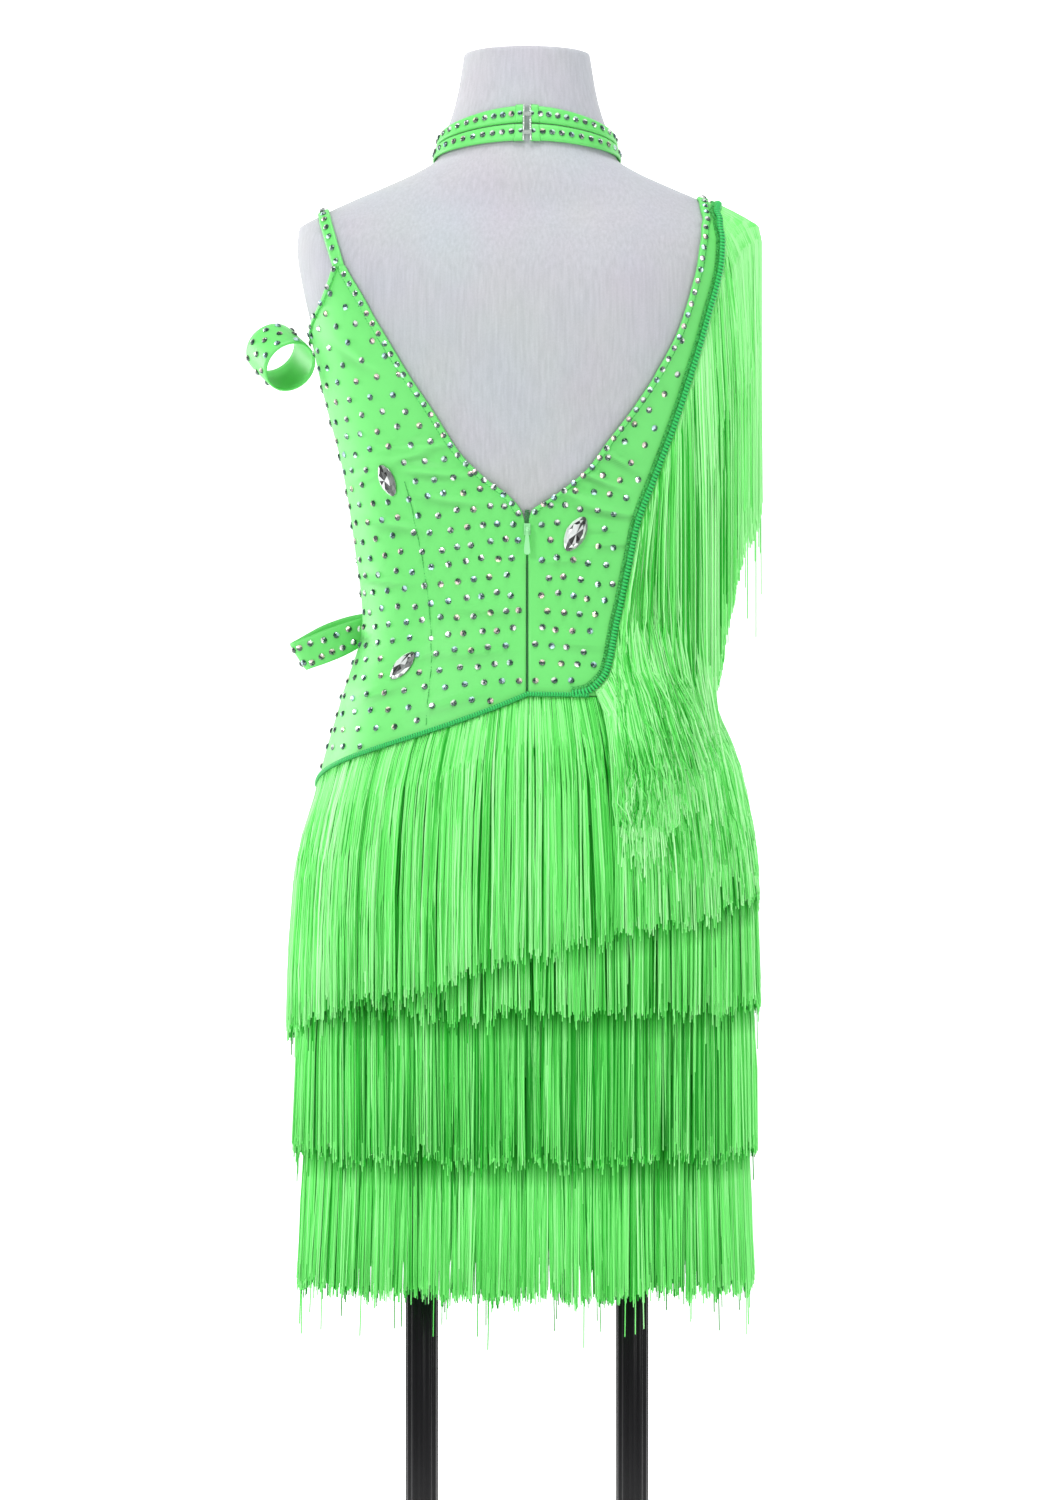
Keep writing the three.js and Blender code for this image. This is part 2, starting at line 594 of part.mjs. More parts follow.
function collarBand(from, to) {
  const grid = [from, to].map((level) => Array.from({ length: COLLAR_STEPS + 1 }, (_, i) => {
    const turn = COLLAR_GAP_TURN + ((2 * Math.PI - 2 * COLLAR_GAP_TURN) * i) / COLLAR_STEPS;
    return clothPair(turn, collarHeight(turn, level), CLOTH_GAP, CLOTH_FACE);
  }));
  return thicken(gridQuads(grid));
}

function collarTab(side) {
  const grid = [-0.03, 0.5, 1.03].map((level) => [TAB.inner, TAB.outer].map((turn) => {
    const height = collarHeight(turn, level);
    return clothPair(side * turn, height, TRIM_BACK, TRIM_BACK + TAB.lift);
  }));
  return thicken(gridQuads(grid));
}

// A hook's wire bridges the two tabs behind their edges.
const HOOK = { width: 6.4, tall: 3, thick: 0.8, stand: 5.2 };

function collarHook(level) {
  const height = collarHeight(0, level);
  const y = skinPoint(0, height, HOOK.stand).y;
  const geometry = new THREE.BoxGeometry(HOOK.width, HOOK.thick, HOOK.tall);
  geometry.translate(0, y, height);
  return geometry;
}

// Two open loops of band stand off the left side, one under the arm and one at the waist.
// The upper one is a ring: axis is the way through it, band its width and radius its middle's.
const RING_LOOP = {
  name: 'side_loop_upper', centre: [192.6, -6, 1235.5], axis: [17.5, -30, 18], radius: 20.5, band: 38, steps: 24,
};
// The lower one is a strip folded in two, with both ends at the side seam.
// Each row is a section of the strip: where its upper and its lower edge lie, from one end to the other.
const FOLDED_LOOP = {
  name: 'side_loop_lower',
  steps: 28,
  rows: [
    { upper: [129.6, 4, 1031.5], lower: [135, 4, 1007] },
    { upper: [142, 8, 1027.5], lower: [143, 8, 1001.5] },
    { upper: [160, 9, 1021], lower: [155, 9, 996.5] },
    { upper: [178, 6.5, 1014], lower: [167, 6.5, 992.5] },
    { upper: [185.2, 0, 1011.6], lower: [172, 0, 991] },
    { upper: [178, -6.5, 1016], lower: [167, -6.5, 993.5] },
    { upper: [160, -9.5, 1026], lower: [155, -9.5, 1001] },
    { upper: [142, -10, 1032.5], lower: [141, -10, 1007] },
    { upper: [129.2, -9, 1035], lower: [133.4, -9, 1010] },
  ],
};
const LOOP_THICKNESS = 1.5;

function ringLoop({ centre, axis, radius, band, steps }) {
  const through = new THREE.Vector3(...axis).normalize();
  const along = new THREE.Vector3(axis[2], 0, -axis[0]);
  along.addScaledVector(through, -along.dot(through)).normalize();
  const across = through.clone().cross(along);
  const middle = new THREE.Vector3(...centre);
  const grid = [-0.5, 0.5].map((side) => Array.from({ length: steps + 1 }, (_, i) => {
    const angle = ((i % steps) * 2 * Math.PI) / steps;
    const place = (grow) => middle.clone()
      .addScaledVector(along, (radius + grow) * Math.cos(angle))
      .addScaledVector(across, (radius + grow) * Math.sin(angle))
      .addScaledVector(through, band * side);
    return { inner: place(-LOOP_THICKNESS / 2), outer: place(LOOP_THICKNESS / 2) };
  }));
  return thicken(gridQuads(grid));
}

function foldedLoop({ rows, steps }) {
  const [lower, upper] = ['lower', 'upper'].map((edge) => {
    const points = rows.map((row) => new THREE.Vector3(...row[edge]));
    return new THREE.CatmullRomCurve3(points, false, 'catmullrom', 0.5);
  });
  const grid = [lower, upper].map((edge) => Array.from({ length: steps + 1 }, (_, i) => {
    const t = i / steps;
    const width = upper.getPoint(t).sub(lower.getPoint(t));
    const normal = width.cross(edge.getTangent(t)).normalize();
    const place = (out) => edge.getPoint(t).addScaledVector(normal, out);
    return { inner: place(-LOOP_THICKNESS / 2), outer: place(LOOP_THICKNESS / 2) };
  }));
  return thicken(gridQuads(grid));
}

// The zip closes the back from the bodice's edge to the point of the neckline.
const ZIP = { halfTurnWidth: 1.1, low: 972, high: 1107, levels: 8 };
const SLIDER = { width: 5, tall: 9, thick: 2.2, height: 1096 };
const BAIL = { radius: 0.5, stand: 2.3, halfSpan: 2.2, cheek: 0.8 };
const PULL = { halfWidth: 2.4, long: 18, thick: 1.2, eyeInner: 0.95, eyeOuter: 1.9, eyeWidth: 2 };

function zipTeeth() {
  const grid = Array.from({ length: ZIP.levels }, (_, i) => {
    const height = ZIP.low + ((ZIP.high - ZIP.low) * i) / (ZIP.levels - 1);
    const half = ZIP.halfTurnWidth / reach(0, height);
    return [-half, half].map((turn) => clothPair(turn, height, CLOTH_GAP, CLOTH_FACE - 0.2));
  });
  return thicken(gridQuads(grid));
}

const sliderBackY = Math.max(
  skinPoint(0, SLIDER.height + SLIDER.tall / 2, CLOTH_FACE + PIECE_GAP).y,
  skinPoint(0, SLIDER.height - SLIDER.tall / 2, CLOTH_FACE + PIECE_GAP).y,
);
const bailY = sliderBackY + SLIDER.thick + BAIL.stand;

function solidOf(geometry) {
  const bare = geometry.clone();
  bare.deleteAttribute('normal');
  bare.deleteAttribute('uv');
  const merged = mergeVertices(bare, 1e-4);
  const mesh = new wasm.Mesh({
    numProp: 3,
    vertProperties: new Float32Array(merged.attributes.position.array),
    triVerts: new Uint32Array(merged.index.array),
  });
  return new wasm.Manifold(mesh);
}

function joined(geometries) {
  const solids = geometries.map(solidOf);
  const mesh = solids.reduce((sum, solid) => sum.add(solid)).getMesh();
  const geometry = new THREE.BufferGeometry();
  geometry.setAttribute('position', new THREE.BufferAttribute(mesh.vertProperties, 3));
  geometry.setIndex(new THREE.BufferAttribute(mesh.triVerts, 1));
  return geometry;
}

// The slider is a block with two cheeks that carry a round bar for the pull.
function zipSlider() {
  const block = new THREE.BoxGeometry(SLIDER.width, SLIDER.thick, SLIDER.tall);
  block.translate(0, sliderBackY + SLIDER.thick / 2, SLIDER.height);
  const cheekDepth = BAIL.stand + BAIL.radius + 0.3;
  const cheeks = [-1, 1].map((side) => {
    const cheek = new THREE.BoxGeometry(BAIL.cheek, cheekDepth + 0.4, 2);
    const x = side * (BAIL.halfSpan - BAIL.cheek / 2);
    cheek.translate(x, sliderBackY + SLIDER.thick - 0.2 + cheekDepth / 2, SLIDER.height);
    return cheek;
  });
  const bar = new THREE.CylinderGeometry(BAIL.radius, BAIL.radius, 2 * BAIL.halfSpan - 0.4, 10);
  bar.rotateZ(QUARTER);
  bar.translate(0, bailY, SLIDER.height);
  return joined([block, ...cheeks, bar]);
}

// The pull is a drop-shaped plate that hangs from an eye round the slider's bar.
function zipPull() {
  const eye = new THREE.Shape();
  eye.absarc(0, 0, PULL.eyeOuter, 0, 2 * Math.PI);
  const hole = new THREE.Path();
  hole.absarc(0, 0, PULL.eyeInner, 0, 2 * Math.PI, true);
  eye.holes.push(hole);
  const ring = new THREE.ExtrudeGeometry(eye, { depth: PULL.eyeWidth, bevelEnabled: false, curveSegments: 7 });
  ring.translate(0, 0, -PULL.eyeWidth / 2);
  ring.rotateY(QUARTER);
  const start = -(PULL.eyeInner + PULL.eyeOuter) / 2;
  const drop = new THREE.Shape();
  drop.moveTo(-0.9, start);
  drop.lineTo(0.9, start);
  drop.lineTo(PULL.halfWidth, start - PULL.long + 4);
  drop.absarc(0, start - PULL.long + PULL.halfWidth, PULL.halfWidth, 0, -Math.PI, true);
  drop.closePath();
  const plate = new THREE.ExtrudeGeometry(drop, { depth: PULL.thick, bevelEnabled: false, curveSegments: 5 });
  plate.rotateX(QUARTER);
  plate.translate(0, PULL.thick / 2, 0);
  const pull = joined([ring, plate]);
  pull.translate(0, bailY, SLIDER.height);
  return pull;
}

// Three large pointed-oval crystals are glued to the back. lean turns a crystal's long way, in degrees.
// stand is the foil's distance from the cloth, where the cloth is hollow more of it.
const CRYSTALS = [
  { name: 'crystal_back_upper', x: 105.5, height: 1135, long: 26, wide: 12.5, lean: 24, stand: 0.9 },
  { name: 'crystal_back_right', x: -36.5, height: 1092.7, long: 29, wide: 14.5, lean: -28, stand: 0.7 },
  { name: 'crystal_back_lower', x: 93.7, height: 992, long: 27, wide: 13.5, lean: -36, stand: 0.3 },
];
const CRYSTAL_RINGS = [
  { share: 1, lift: 0 },
  { share: 1, lift: 1.2 },
  { share: 0.55, lift: 4.2 },
];
const CRYSTAL_SIDES = 12;

function crystal({ x, height, long, wide, lean, stand }) {
  const turn = turnAt(x, height);
  const foot = skinPoint(turn, height, CLOTH_FACE + stand);
  const out = skinPoint(turn, height, 10).sub(skinPoint(turn, height, 0)).normalize();
  const up = new THREE.Vector3(0, 0, 1).addScaledVector(out, -out.z).normalize();
  const side = out.clone().cross(up);
  const tilt = THREE.MathUtils.degToRad(lean);
  const along = up.clone().multiplyScalar(Math.cos(tilt)).addScaledVector(side, Math.sin(tilt));
  const across = out.clone().cross(along);
  const points = [foot.clone()];
  for (const ring of CRYSTAL_RINGS) {
    for (let i = 0; i < CRYSTAL_SIDES; i += 1) {
      const a = (i * 2 * Math.PI) / CRYSTAL_SIDES;
      const width = (wide / 2) * Math.sin(a) * (1 - 0.22 * Math.cos(a) ** 2);
      points.push(foot.clone().addScaledVector(along, (long / 2) * Math.cos(a) * ring.share)
        .addScaledVector(across, width * ring.share).addScaledVector(out, ring.lift));
    }
  }
  const top = points.length;
  points.push(foot.clone().addScaledVector(out, CRYSTAL_RINGS[2].lift));
  const faces = [];
  for (let i = 0; i < CRYSTAL_SIDES; i += 1) {
    const next = (i + 1) % CRYSTAL_SIDES;
    faces.push([0, 1 + i, 1 + next]);
    for (let ring = 0; ring < CRYSTAL_RINGS.length - 1; ring += 1) {
      const [a, b] = [1 + ring * CRYSTAL_SIDES + i, 1 + ring * CRYSTAL_SIDES + next];
      faces.push([a, a + CRYSTAL_SIDES, b], [b, a + CRYSTAL_SIDES, b + CRYSTAL_SIDES]);
    }
    faces.push([top - CRYSTAL_SIDES + i, top, top - CRYSTAL_SIDES + next]);
  }
  return outward(points, faces);
}

// The stand: a flat plate with round corners and two fluted posts.
const BASE = { width: 400, depth: 320, corner: 40, thick: 12 };
const POST = { x: 82, radius: 12.8, flute: 0.9, flutes: 12 };

function basePlate() {
  const [w, d, r] = [BASE.width / 2, BASE.depth / 2, BASE.corner];
  const outline = new THREE.Shape();
  outline.moveTo(-w + r, -d);
  outline.lineTo(w - r, -d);
  outline.absarc(w - r, -d + r, r, -QUARTER, 0);
  outline.absarc(w - r, d - r, r, 0, QUARTER);
  outline.absarc(-w + r, d - r, r, QUARTER, 2 * QUARTER);
  outline.absarc(-w + r, -d + r, r, 2 * QUARTER, 3 * QUARTER);
  return new THREE.ExtrudeGeometry(outline, { depth: BASE.thick, bevelEnabled: false, curveSegments: 6 });
}

function post(side) {
  const outline = new THREE.Shape();
  const points = Array.from({ length: 2 * POST.flutes }, (_, i) => {
    const r = POST.radius - (i % 2) * POST.flute;
    const a = (i * Math.PI) / POST.flutes;
    return new THREE.Vector2(r * Math.cos(a), r * Math.sin(a));
  });
  outline.setFromPoints(points);
  const length = FORM_BOTTOM - BASE.thick - 2 * PIECE_GAP;
  const geometry = new THREE.ExtrudeGeometry(outline, { depth: length, bevelEnabled: false });
  geometry.translate(side * POST.x, 0, BASE.thick + PIECE_GAP);
  return geometry;
}

const part = new THREE.Group();

function add(group, name, geometry, finish) {
  const mesh = new THREE.Mesh(geometry, new THREE.MeshStandardMaterial(finish));
  mesh.name = name;
  group.add(mesh);
}

const BINDING = { neck: 7.5, armhole: 6 };
const NECK_ROWS = { left: [5, 17], right: [5, 22] };
const ARMHOLE_ROWS = [11, 16];

const stand = new THREE.Group();
add(stand, 'base_plate', basePlate(), COLOURS.stand);
add(stand, 'post_left', post(1), COLOURS.stand);
add(stand, 'post_right', post(-1), COLOURS.stand);
add(stand, 'dress_form', dressForm(), COLOURS.form);

const bodice = new THREE.Group();
add(bodice, 'bodice_front', frontPanel(), COLOURS.cloth);
add(bodice, 'bodice_back_left', backPanel(BACK_LEFT), COLOURS.cloth);
add(bodice, 'bodice_back_right', backPanel(BACK_RIGHT), COLOURS.cloth);
add(bodice, 'shoulder_strap_left', shoulderStrap(), COLOURS.cloth);
add(bodice, 'neck_binding_left', edgeBinding(BACK_LEFT, ...NECK_ROWS.left, BINDING.neck), COLOURS.cloth);
add(bodice, 'neck_binding_right', edgeBinding(BACK_RIGHT, ...NECK_ROWS.right, BINDING.neck), COLOURS.cloth);
const armhole = edgeBinding(BACK_LEFT, ...ARMHOLE_ROWS, BINDING.armhole, true);
add(bodice, 'armhole_binding_left', armhole, COLOURS.cloth);
add(bodice, RING_LOOP.name, ringLoop(RING_LOOP), COLOURS.cloth);
add(bodice, FOLDED_LOOP.name, foldedLoop(FOLDED_LOOP), COLOURS.cloth);
for (const stone of CRYSTALS) add(bodice, stone.name, crystal(stone), COLOURS.crystal);

const zip = new THREE.Group();
add(zip, 'zip_teeth', zipTeeth(), COLOURS.header);
add(zip, 'zip_slider', zipSlider(), COLOURS.cloth);
add(zip, 'zip_pull', zipPull(), COLOURS.cloth);

const skirt = new THREE.Group();
add(skirt, 'skirt_back', skirtHalf('back'), COLOURS.cloth);
add(skirt, 'skirt_front', skirtHalf('front'), COLOURS.cloth);
for (const row of TIERS) add(skirt, row.name, tier(row), COLOURS.fringe);
add(skirt, 'fringe_shoulder', shoulderFringe(), COLOURS.fringe);

const collar = new THREE.Group();
add(collar, 'collar_band_upper', collarBand(0.5 + COLLAR.slit / 50, 1), COLOURS.cloth);
add(collar, 'collar_band_lower', collarBand(0, 0.5 - COLLAR.slit / 50), COLOURS.cloth);
add(collar, 'collar_tab_left', collarTab(1), COLOURS.cloth);
add(collar, 'collar_tab_right', collarTab(-1), COLOURS.cloth);
add(collar, 'collar_hook_upper', collarHook(0.76), COLOURS.silver);
add(collar, 'collar_hook_lower', collarHook(0.24), COLOURS.silver);

part.add(stand, bodice, zip, skirt, collar);

export default part;
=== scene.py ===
import math

import bmesh
import bpy
import numpy as np
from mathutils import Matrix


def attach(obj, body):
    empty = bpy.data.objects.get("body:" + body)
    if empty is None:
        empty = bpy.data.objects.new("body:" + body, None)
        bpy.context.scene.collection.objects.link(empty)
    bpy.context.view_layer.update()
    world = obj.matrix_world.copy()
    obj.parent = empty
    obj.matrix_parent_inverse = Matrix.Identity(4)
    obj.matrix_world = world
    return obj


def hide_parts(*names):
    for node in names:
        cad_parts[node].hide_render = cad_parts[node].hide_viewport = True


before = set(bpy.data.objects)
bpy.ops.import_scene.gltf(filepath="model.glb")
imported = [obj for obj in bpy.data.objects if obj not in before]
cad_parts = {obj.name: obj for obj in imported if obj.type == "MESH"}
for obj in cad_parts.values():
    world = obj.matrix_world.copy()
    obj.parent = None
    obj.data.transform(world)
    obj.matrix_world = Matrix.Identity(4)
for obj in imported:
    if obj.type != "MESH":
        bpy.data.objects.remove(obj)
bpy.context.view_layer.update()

MM = 0.001

# The camera stands behind the dress, level with its waist, as far off as a long lens needs.
# Its frame shows 1.17 m of height at the middle of the form.
CAMERA_DISTANCE = 3.2
CAMERA_HEIGHT = 0.9286
FRAME_HEIGHT = 1.17
SENSOR = 36.0

camera_data = bpy.data.cameras.new("camera")
camera_data.sensor_width = SENSOR
camera_data.lens = SENSOR * CAMERA_DISTANCE / FRAME_HEIGHT
camera = bpy.data.objects.new("camera", camera_data)
camera.location = (0.0016, CAMERA_DISTANCE, CAMERA_HEIGHT)
camera.rotation_euler = (math.pi / 2, 0, math.pi)
bpy.context.collection.objects.link(camera)
bpy.context.scene.camera = camera

# The studio is a white paper sweep: a floor that curves up into a wall in front of the dress.
# Large soft boxes light it from both sides and from above, and the room fills the shadows.
SWEEP = {"half_width": 8.0, "near": 7.0, "bend_start": -4.6, "bend_radius": 1.8, "wall_height": 7.0}
SWEEP_COLOUR = (0.93, 0.93, 0.935, 1)
SOFT_BOXES = [
    # name, place, size, power in watts
    ("key", (2.2, 2.5, 2.7), 1.1, 48),
    ("fill", (-2.5, 2.2, 1.7), 1.6, 17),
    ("top", (0.0, 0.6, 3.3), 1.1, 36),
    ("rim_left", (2.2, -1.0, 1.5), 1.2, 34),
    ("rim_right", (-2.2, -1.4, 1.5), 1.2, 20),
]
ROOM_LIGHT = 0.30


def grid_object(name, points, closed=False):
    """A mesh from a grid of points, rows by columns, with one quad between each four neighbours.
    closed joins the last column to the first. The UV map holds the two parameters, from 0 to 1."""
    rows, columns = points.shape[:2]
    index = np.arange(rows * columns).reshape(rows, columns)
    if closed:
        index = np.concatenate([index, index[:, :1]], axis=1)
    quads = np.stack([index[:-1, :-1], index[:-1, 1:], index[1:, 1:], index[1:, :-1]], axis=-1)
    mesh = bpy.data.meshes.new(name)
    mesh.from_pydata(points.reshape(-1, 3).tolist(), [], quads.reshape(-1, 4).tolist())
    r, c = np.meshgrid(np.arange(index.shape[0]), np.arange(index.shape[1]), indexing="ij")
    uv = np.stack([c / (index.shape[1] - 1), r / (rows - 1)], axis=-1)
    corner = np.stack([uv[:-1, :-1], uv[:-1, 1:], uv[1:, 1:], uv[1:, :-1]], axis=-2)
    layer = mesh.uv_layers.new(name="cloth")
    layer.data.foreach_set("uv", corner.reshape(-1).astype(np.float32))
    mesh.polygons.foreach_set("use_smooth", np.ones(len(mesh.polygons), bool))
    mesh.update()
    piece = bpy.data.objects.new(name, mesh)
    bpy.context.collection.objects.link(piece)
    return piece


def new_material(name, colour, roughness):
    """A material with its shader, and a function that adds a node and sets its inputs."""
    material = bpy.data.materials.new(name)
    material.use_nodes = True
    tree = material.node_tree
    shader = tree.nodes["Principled BSDF"]
    shader.inputs["Base Color"].default_value = colour
    shader.inputs["Roughness"].default_value = roughness

    def node(kind, settings=None, **inputs):
        """Adds a node, with its settings, and gives each input a value or a link."""
        made = tree.nodes.new(kind)
        for key, value in (settings or {}).items():
            setattr(made, key, value)
        for key, value in inputs.items():
            socket = made.inputs[key.replace("_", " ")]
            if isinstance(value, bpy.types.NodeSocket):
                tree.links.new(value, socket)
            else:
                socket.default_value = value
        return made

    def link(output, socket):
        """Joins one node's output to another's input."""
        tree.links.new(output, socket)

    return material, shader, node, link


def sweep_points():
    """The sweep's profile runs along the floor, round a quarter circle and up the wall, carried sideways."""
    radius = SWEEP["bend_radius"]
    arc = np.linspace(0, math.pi / 2, 24)
    y = np.concatenate([[SWEEP["near"]], SWEEP["bend_start"] - radius * np.sin(arc),
                        [SWEEP["bend_start"] - radius]])
    z = np.concatenate([[0.0], radius - radius * np.cos(arc), [SWEEP["wall_height"]]])
    x = np.array([-SWEEP["half_width"], SWEEP["half_width"]])
    return np.stack([np.tile(x, (len(y), 1)), np.tile(y[:, None], 2), np.tile(z[:, None], 2)], axis=-1)


sweep = grid_object("floor_sweep", sweep_points())
paper, paper_shader, paper_node, paper_link = new_material("white_paper", SWEEP_COLOUR, 0.9)
paper_grain = paper_node("ShaderNodeTexNoise", Scale=40.0, Detail=4.0)
paper_bump = paper_node("ShaderNodeBump", Strength=0.02, Distance=0.001, Height=paper_grain.outputs[0])
paper_link(paper_bump.outputs[0], paper_shader.inputs["Normal"])
paper_shader.inputs["Emission Color"].default_value = (1, 1, 1, 1)
paper_shader.inputs["Emission Strength"].default_value = 0.75
sweep.data.materials.append(paper)

for box_name, place, size, power in SOFT_BOXES:
    lamp = bpy.data.lights.new(box_name, "AREA")
    lamp.shape = "DISK"
    lamp.size = size
    lamp.energy = power
    light = bpy.data.objects.new(box_name, lamp)
    light.location = place
    aim = np.array([0, 0, 1.0]) - np.array(place)
    light.rotation_euler = (math.atan2(math.hypot(aim[0], aim[1]), -aim[2]), 0, math.atan2(-aim[0], aim[1]))
    bpy.context.collection.objects.link(light)

room = bpy.data.worlds.new("room")
room.use_nodes = True
room.node_tree.nodes["Background"].inputs["Color"].default_value = (1, 1, 1, 1)
room.node_tree.nodes["Background"].inputs["Strength"].default_value = ROOM_LIGHT
bpy.context.scene.world = room
bpy.context.scene.view_settings.view_transform = "Standard"

# The dress form is a padded torso with a neck, covered in pale grey jersey with a plain weave.
# The cover is stretched over it whole; the top of the neck is a low dome under the same cover.
FIGURE = np.array([
    # height, half width, front, back, squareness of the section, in millimetres
    (620, 166, 94, 100, 2.3), (700, 168.5, 98, 108, 2.3), (765, 169.6, 101, 117, 2.3),
    (827, 170, 102, 122, 2.3), (905, 160, 103, 118, 2.3), (968, 143, 96, 101, 2.25),
    (1030, 126.5, 86, 84, 2.2), (1090, 133, 92, 84, 2.2), (1147, 142, 106, 90, 2.2),
    (1202, 156, 116, 97, 2.3), (1247, 166, 104, 101, 2.4), (1290, 176, 88, 98, 2.4),
    (1318, 180, 76, 88, 2.4), (1333, 179, 68, 78, 2.3), (1342, 165, 62, 72, 2.25),
    (1353, 142, 58, 68, 2.2), (1366, 112, 56, 65, 2.1), (1378, 86, 57, 61, 2.05),
    (1388, 71.5, 59, 57, 2), (1398, 69, 60, 53, 2), (1407, 66, 60, 50, 2),
    (1418, 61, 60, 47, 2), (1440, 55, 60, 43, 2), (1470, 50, 60, 40, 2),
])
FIGURE_COLUMNS = {"half_width": 1, "front": 2, "back": 3, "squareness": 4}
FORM_BOTTOM = 620
NECK_TOP = 1470
NECK_DOME = 5
FORM_COVER_DEPTH = -1.0
FORM_GREY = (0.47, 0.485, 0.515, 1)
QUARTER = math.pi / 2


def figure_measure(name, height):
    """One measure at each height, on a cubic through the table whose slopes never overshoot it."""
    z, v = FIGURE[:, 0], FIGURE[:, FIGURE_COLUMNS[name]]
    step = np.diff(z)
    slope = np.diff(v) / step
    below, above = slope[:-1], slope[1:]
    product = below * above
    inner = np.where(product > 0, 2 * product / np.where(product > 0, below + above, 1), 0)
    tangent = np.concatenate([slope[:1], inner, slope[-1:]])
    height = np.clip(height, z[0], z[-1])
    i = np.clip(np.searchsorted(z, height, side="right") - 1, 0, len(step) - 1)
    t = (height - z[i]) / step[i]
    low = v[i] * (1 + 2 * t) * (1 - t) ** 2 + tangent[i] * step[i] * t * (1 - t) ** 2
    return low + v[i + 1] * t * t * (3 - 2 * t) + tangent[i + 1] * step[i] * t * t * (t - 1)


def figure_reach(turn, height):
    """The distance from the middle line: a super-ellipse of the half width and the front or back depth."""
    depth = np.where(np.cos(turn) >= 0, figure_measure("back", height), figure_measure("front", height))
    n = figure_measure("squareness", height)
    across = np.abs(np.sin(turn)) / figure_measure("half_width", height)
    along = np.abs(np.cos(turn)) / depth
    return (across ** n + along ** n) ** (-1 / n)


def ring_point(turn, height, out=0.0):
    """A point straight out from the middle line, past the figure by out millimetres."""
    r = figure_reach(turn, height) + out
    return np.stack([r * np.sin(turn), r * np.cos(turn), height + 0 * r], axis=-1)


def skin_normal(turn, height):
    """The figure's unit normal: the cross product of its two tangents."""
    turn, height = np.broadcast_arrays(np.asarray(turn, float), np.asarray(height, float))
    above, below = np.minimum(height + 0.5, NECK_TOP), np.maximum(height - 0.5, FORM_BOTTOM)
    up = ring_point(turn, above) - ring_point(turn, below)
    around = ring_point(turn - 0.01, height) - ring_point(turn + 0.01, height)
    normal = np.cross(around, up)
    return normal / np.linalg.norm(normal, axis=-1, keepdims=True)


def skin_point(turn, height, out):
    """A point of the figure moved out along its normal, in millimetres."""
    turn, height, out = np.broadcast_arrays(*(np.asarray(v, float) for v in (turn, height, out)))
    return ring_point(turn, height) + skin_normal(turn, height) * out[..., None]


def form_points(columns=112):
    """Rings of the figure from the foot to the neck, closed by rings that shrink to a point at both ends."""
    turn = -np.linspace(0, 2 * math.pi, columns, endpoint=False)
    height = np.concatenate([np.linspace(FORM_BOTTOM, 1300, 80), np.linspace(1303, NECK_TOP, 70)])
    body = skin_point(turn[None, :], height[:, None], FORM_COVER_DEPTH)
    body[..., 2] = height[:, None]
    shrink = np.array([0.985, 0.93, 0.8, 0.6, 0.35, 0.0])
    top_centre = np.array([0, -10.0, NECK_TOP])
    cap = top_centre + (body[-1] - top_centre) * shrink[:, None, None]
    cap[..., 2] = NECK_TOP + NECK_DOME * np.sqrt(1 - shrink[:, None] ** 2)
    foot = body[0] * shrink[::-1, None, None] * np.array([1, 1, 0]) + np.array([0, 0, FORM_BOTTOM])
    return np.concatenate([foot, body, cap]) * MM


form_cover = grid_object("form_cover", form_points(), closed=True)
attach(form_cover, "dress")
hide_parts("dress_form")

jersey, jersey_shader, jersey_node, jersey_link = new_material("grey_jersey", FORM_GREY, 0.86)
jersey_place = jersey_node("ShaderNodeTexCoord")
jersey_spot = jersey_place.outputs["Object"]
jersey_speck = jersey_node("ShaderNodeTexNoise", Vector=jersey_spot, Scale=900.0, Detail=3.0)
jersey_cloud = jersey_node("ShaderNodeTexNoise", Vector=jersey_spot, Scale=14.0, Detail=2.0)
jersey_mix = jersey_node("ShaderNodeMix", {"data_type": "RGBA"}, Factor=jersey_speck.outputs[0])
jersey_mix.inputs["A"].default_value = (0.425, 0.435, 0.47, 1)
jersey_mix.inputs["B"].default_value = (0.515, 0.525, 0.56, 1)
jersey_tint = jersey_node("ShaderNodeMix", {"data_type": "RGBA", "blend_type": "MULTIPLY"},
                          Factor=0.12, A=jersey_mix.outputs["Result"], B=jersey_cloud.outputs["Color"])
jersey_thread = jersey_node("ShaderNodeMapping", Vector=jersey_spot, Scale=(520.0, 520.0, 26.0))
jersey_slub = jersey_node("ShaderNodeTexNoise", Vector=jersey_thread.outputs[0], Scale=1.0, Detail=3.0)
jersey_lines = jersey_node("ShaderNodeMapRange", Value=jersey_slub.outputs[0])
jersey_lines.inputs["From Min"].default_value = 0.3
jersey_lines.inputs["From Max"].default_value = 0.7
jersey_lines.inputs["To Min"].default_value = 0.93
jersey_lines.inputs["To Max"].default_value = 1.06
jersey_lined = jersey_node("ShaderNodeVectorMath", {"operation": "SCALE"},
                           Vector=jersey_tint.outputs["Result"])
jersey_link(jersey_lines.outputs[0], jersey_lined.inputs["Scale"])
jersey_link(jersey_lined.outputs[0], jersey_shader.inputs["Base Color"])
jersey_rows = jersey_node("ShaderNodeTexWave", {"bands_direction": "Z"}, Vector=jersey_spot,
                          Scale=330.0, Distortion=2.0, Detail=2.0)
jersey_wales = jersey_node("ShaderNodeTexWave", {"bands_direction": "X"}, Vector=jersey_spot,
                           Scale=330.0, Distortion=2.0, Detail=2.0)
jersey_weave = jersey_node("ShaderNodeMath", {"operation": "MULTIPLY"})
jersey_link(jersey_rows.outputs["Fac"], jersey_weave.inputs[0])
jersey_link(jersey_wales.outputs["Fac"], jersey_weave.inputs[1])
jersey_bump = jersey_node("ShaderNodeBump", Strength=0.25, Distance=0.0004, Height=jersey_weave.outputs[0])
jersey_link(jersey_bump.outputs[0], jersey_shader.inputs["Normal"])
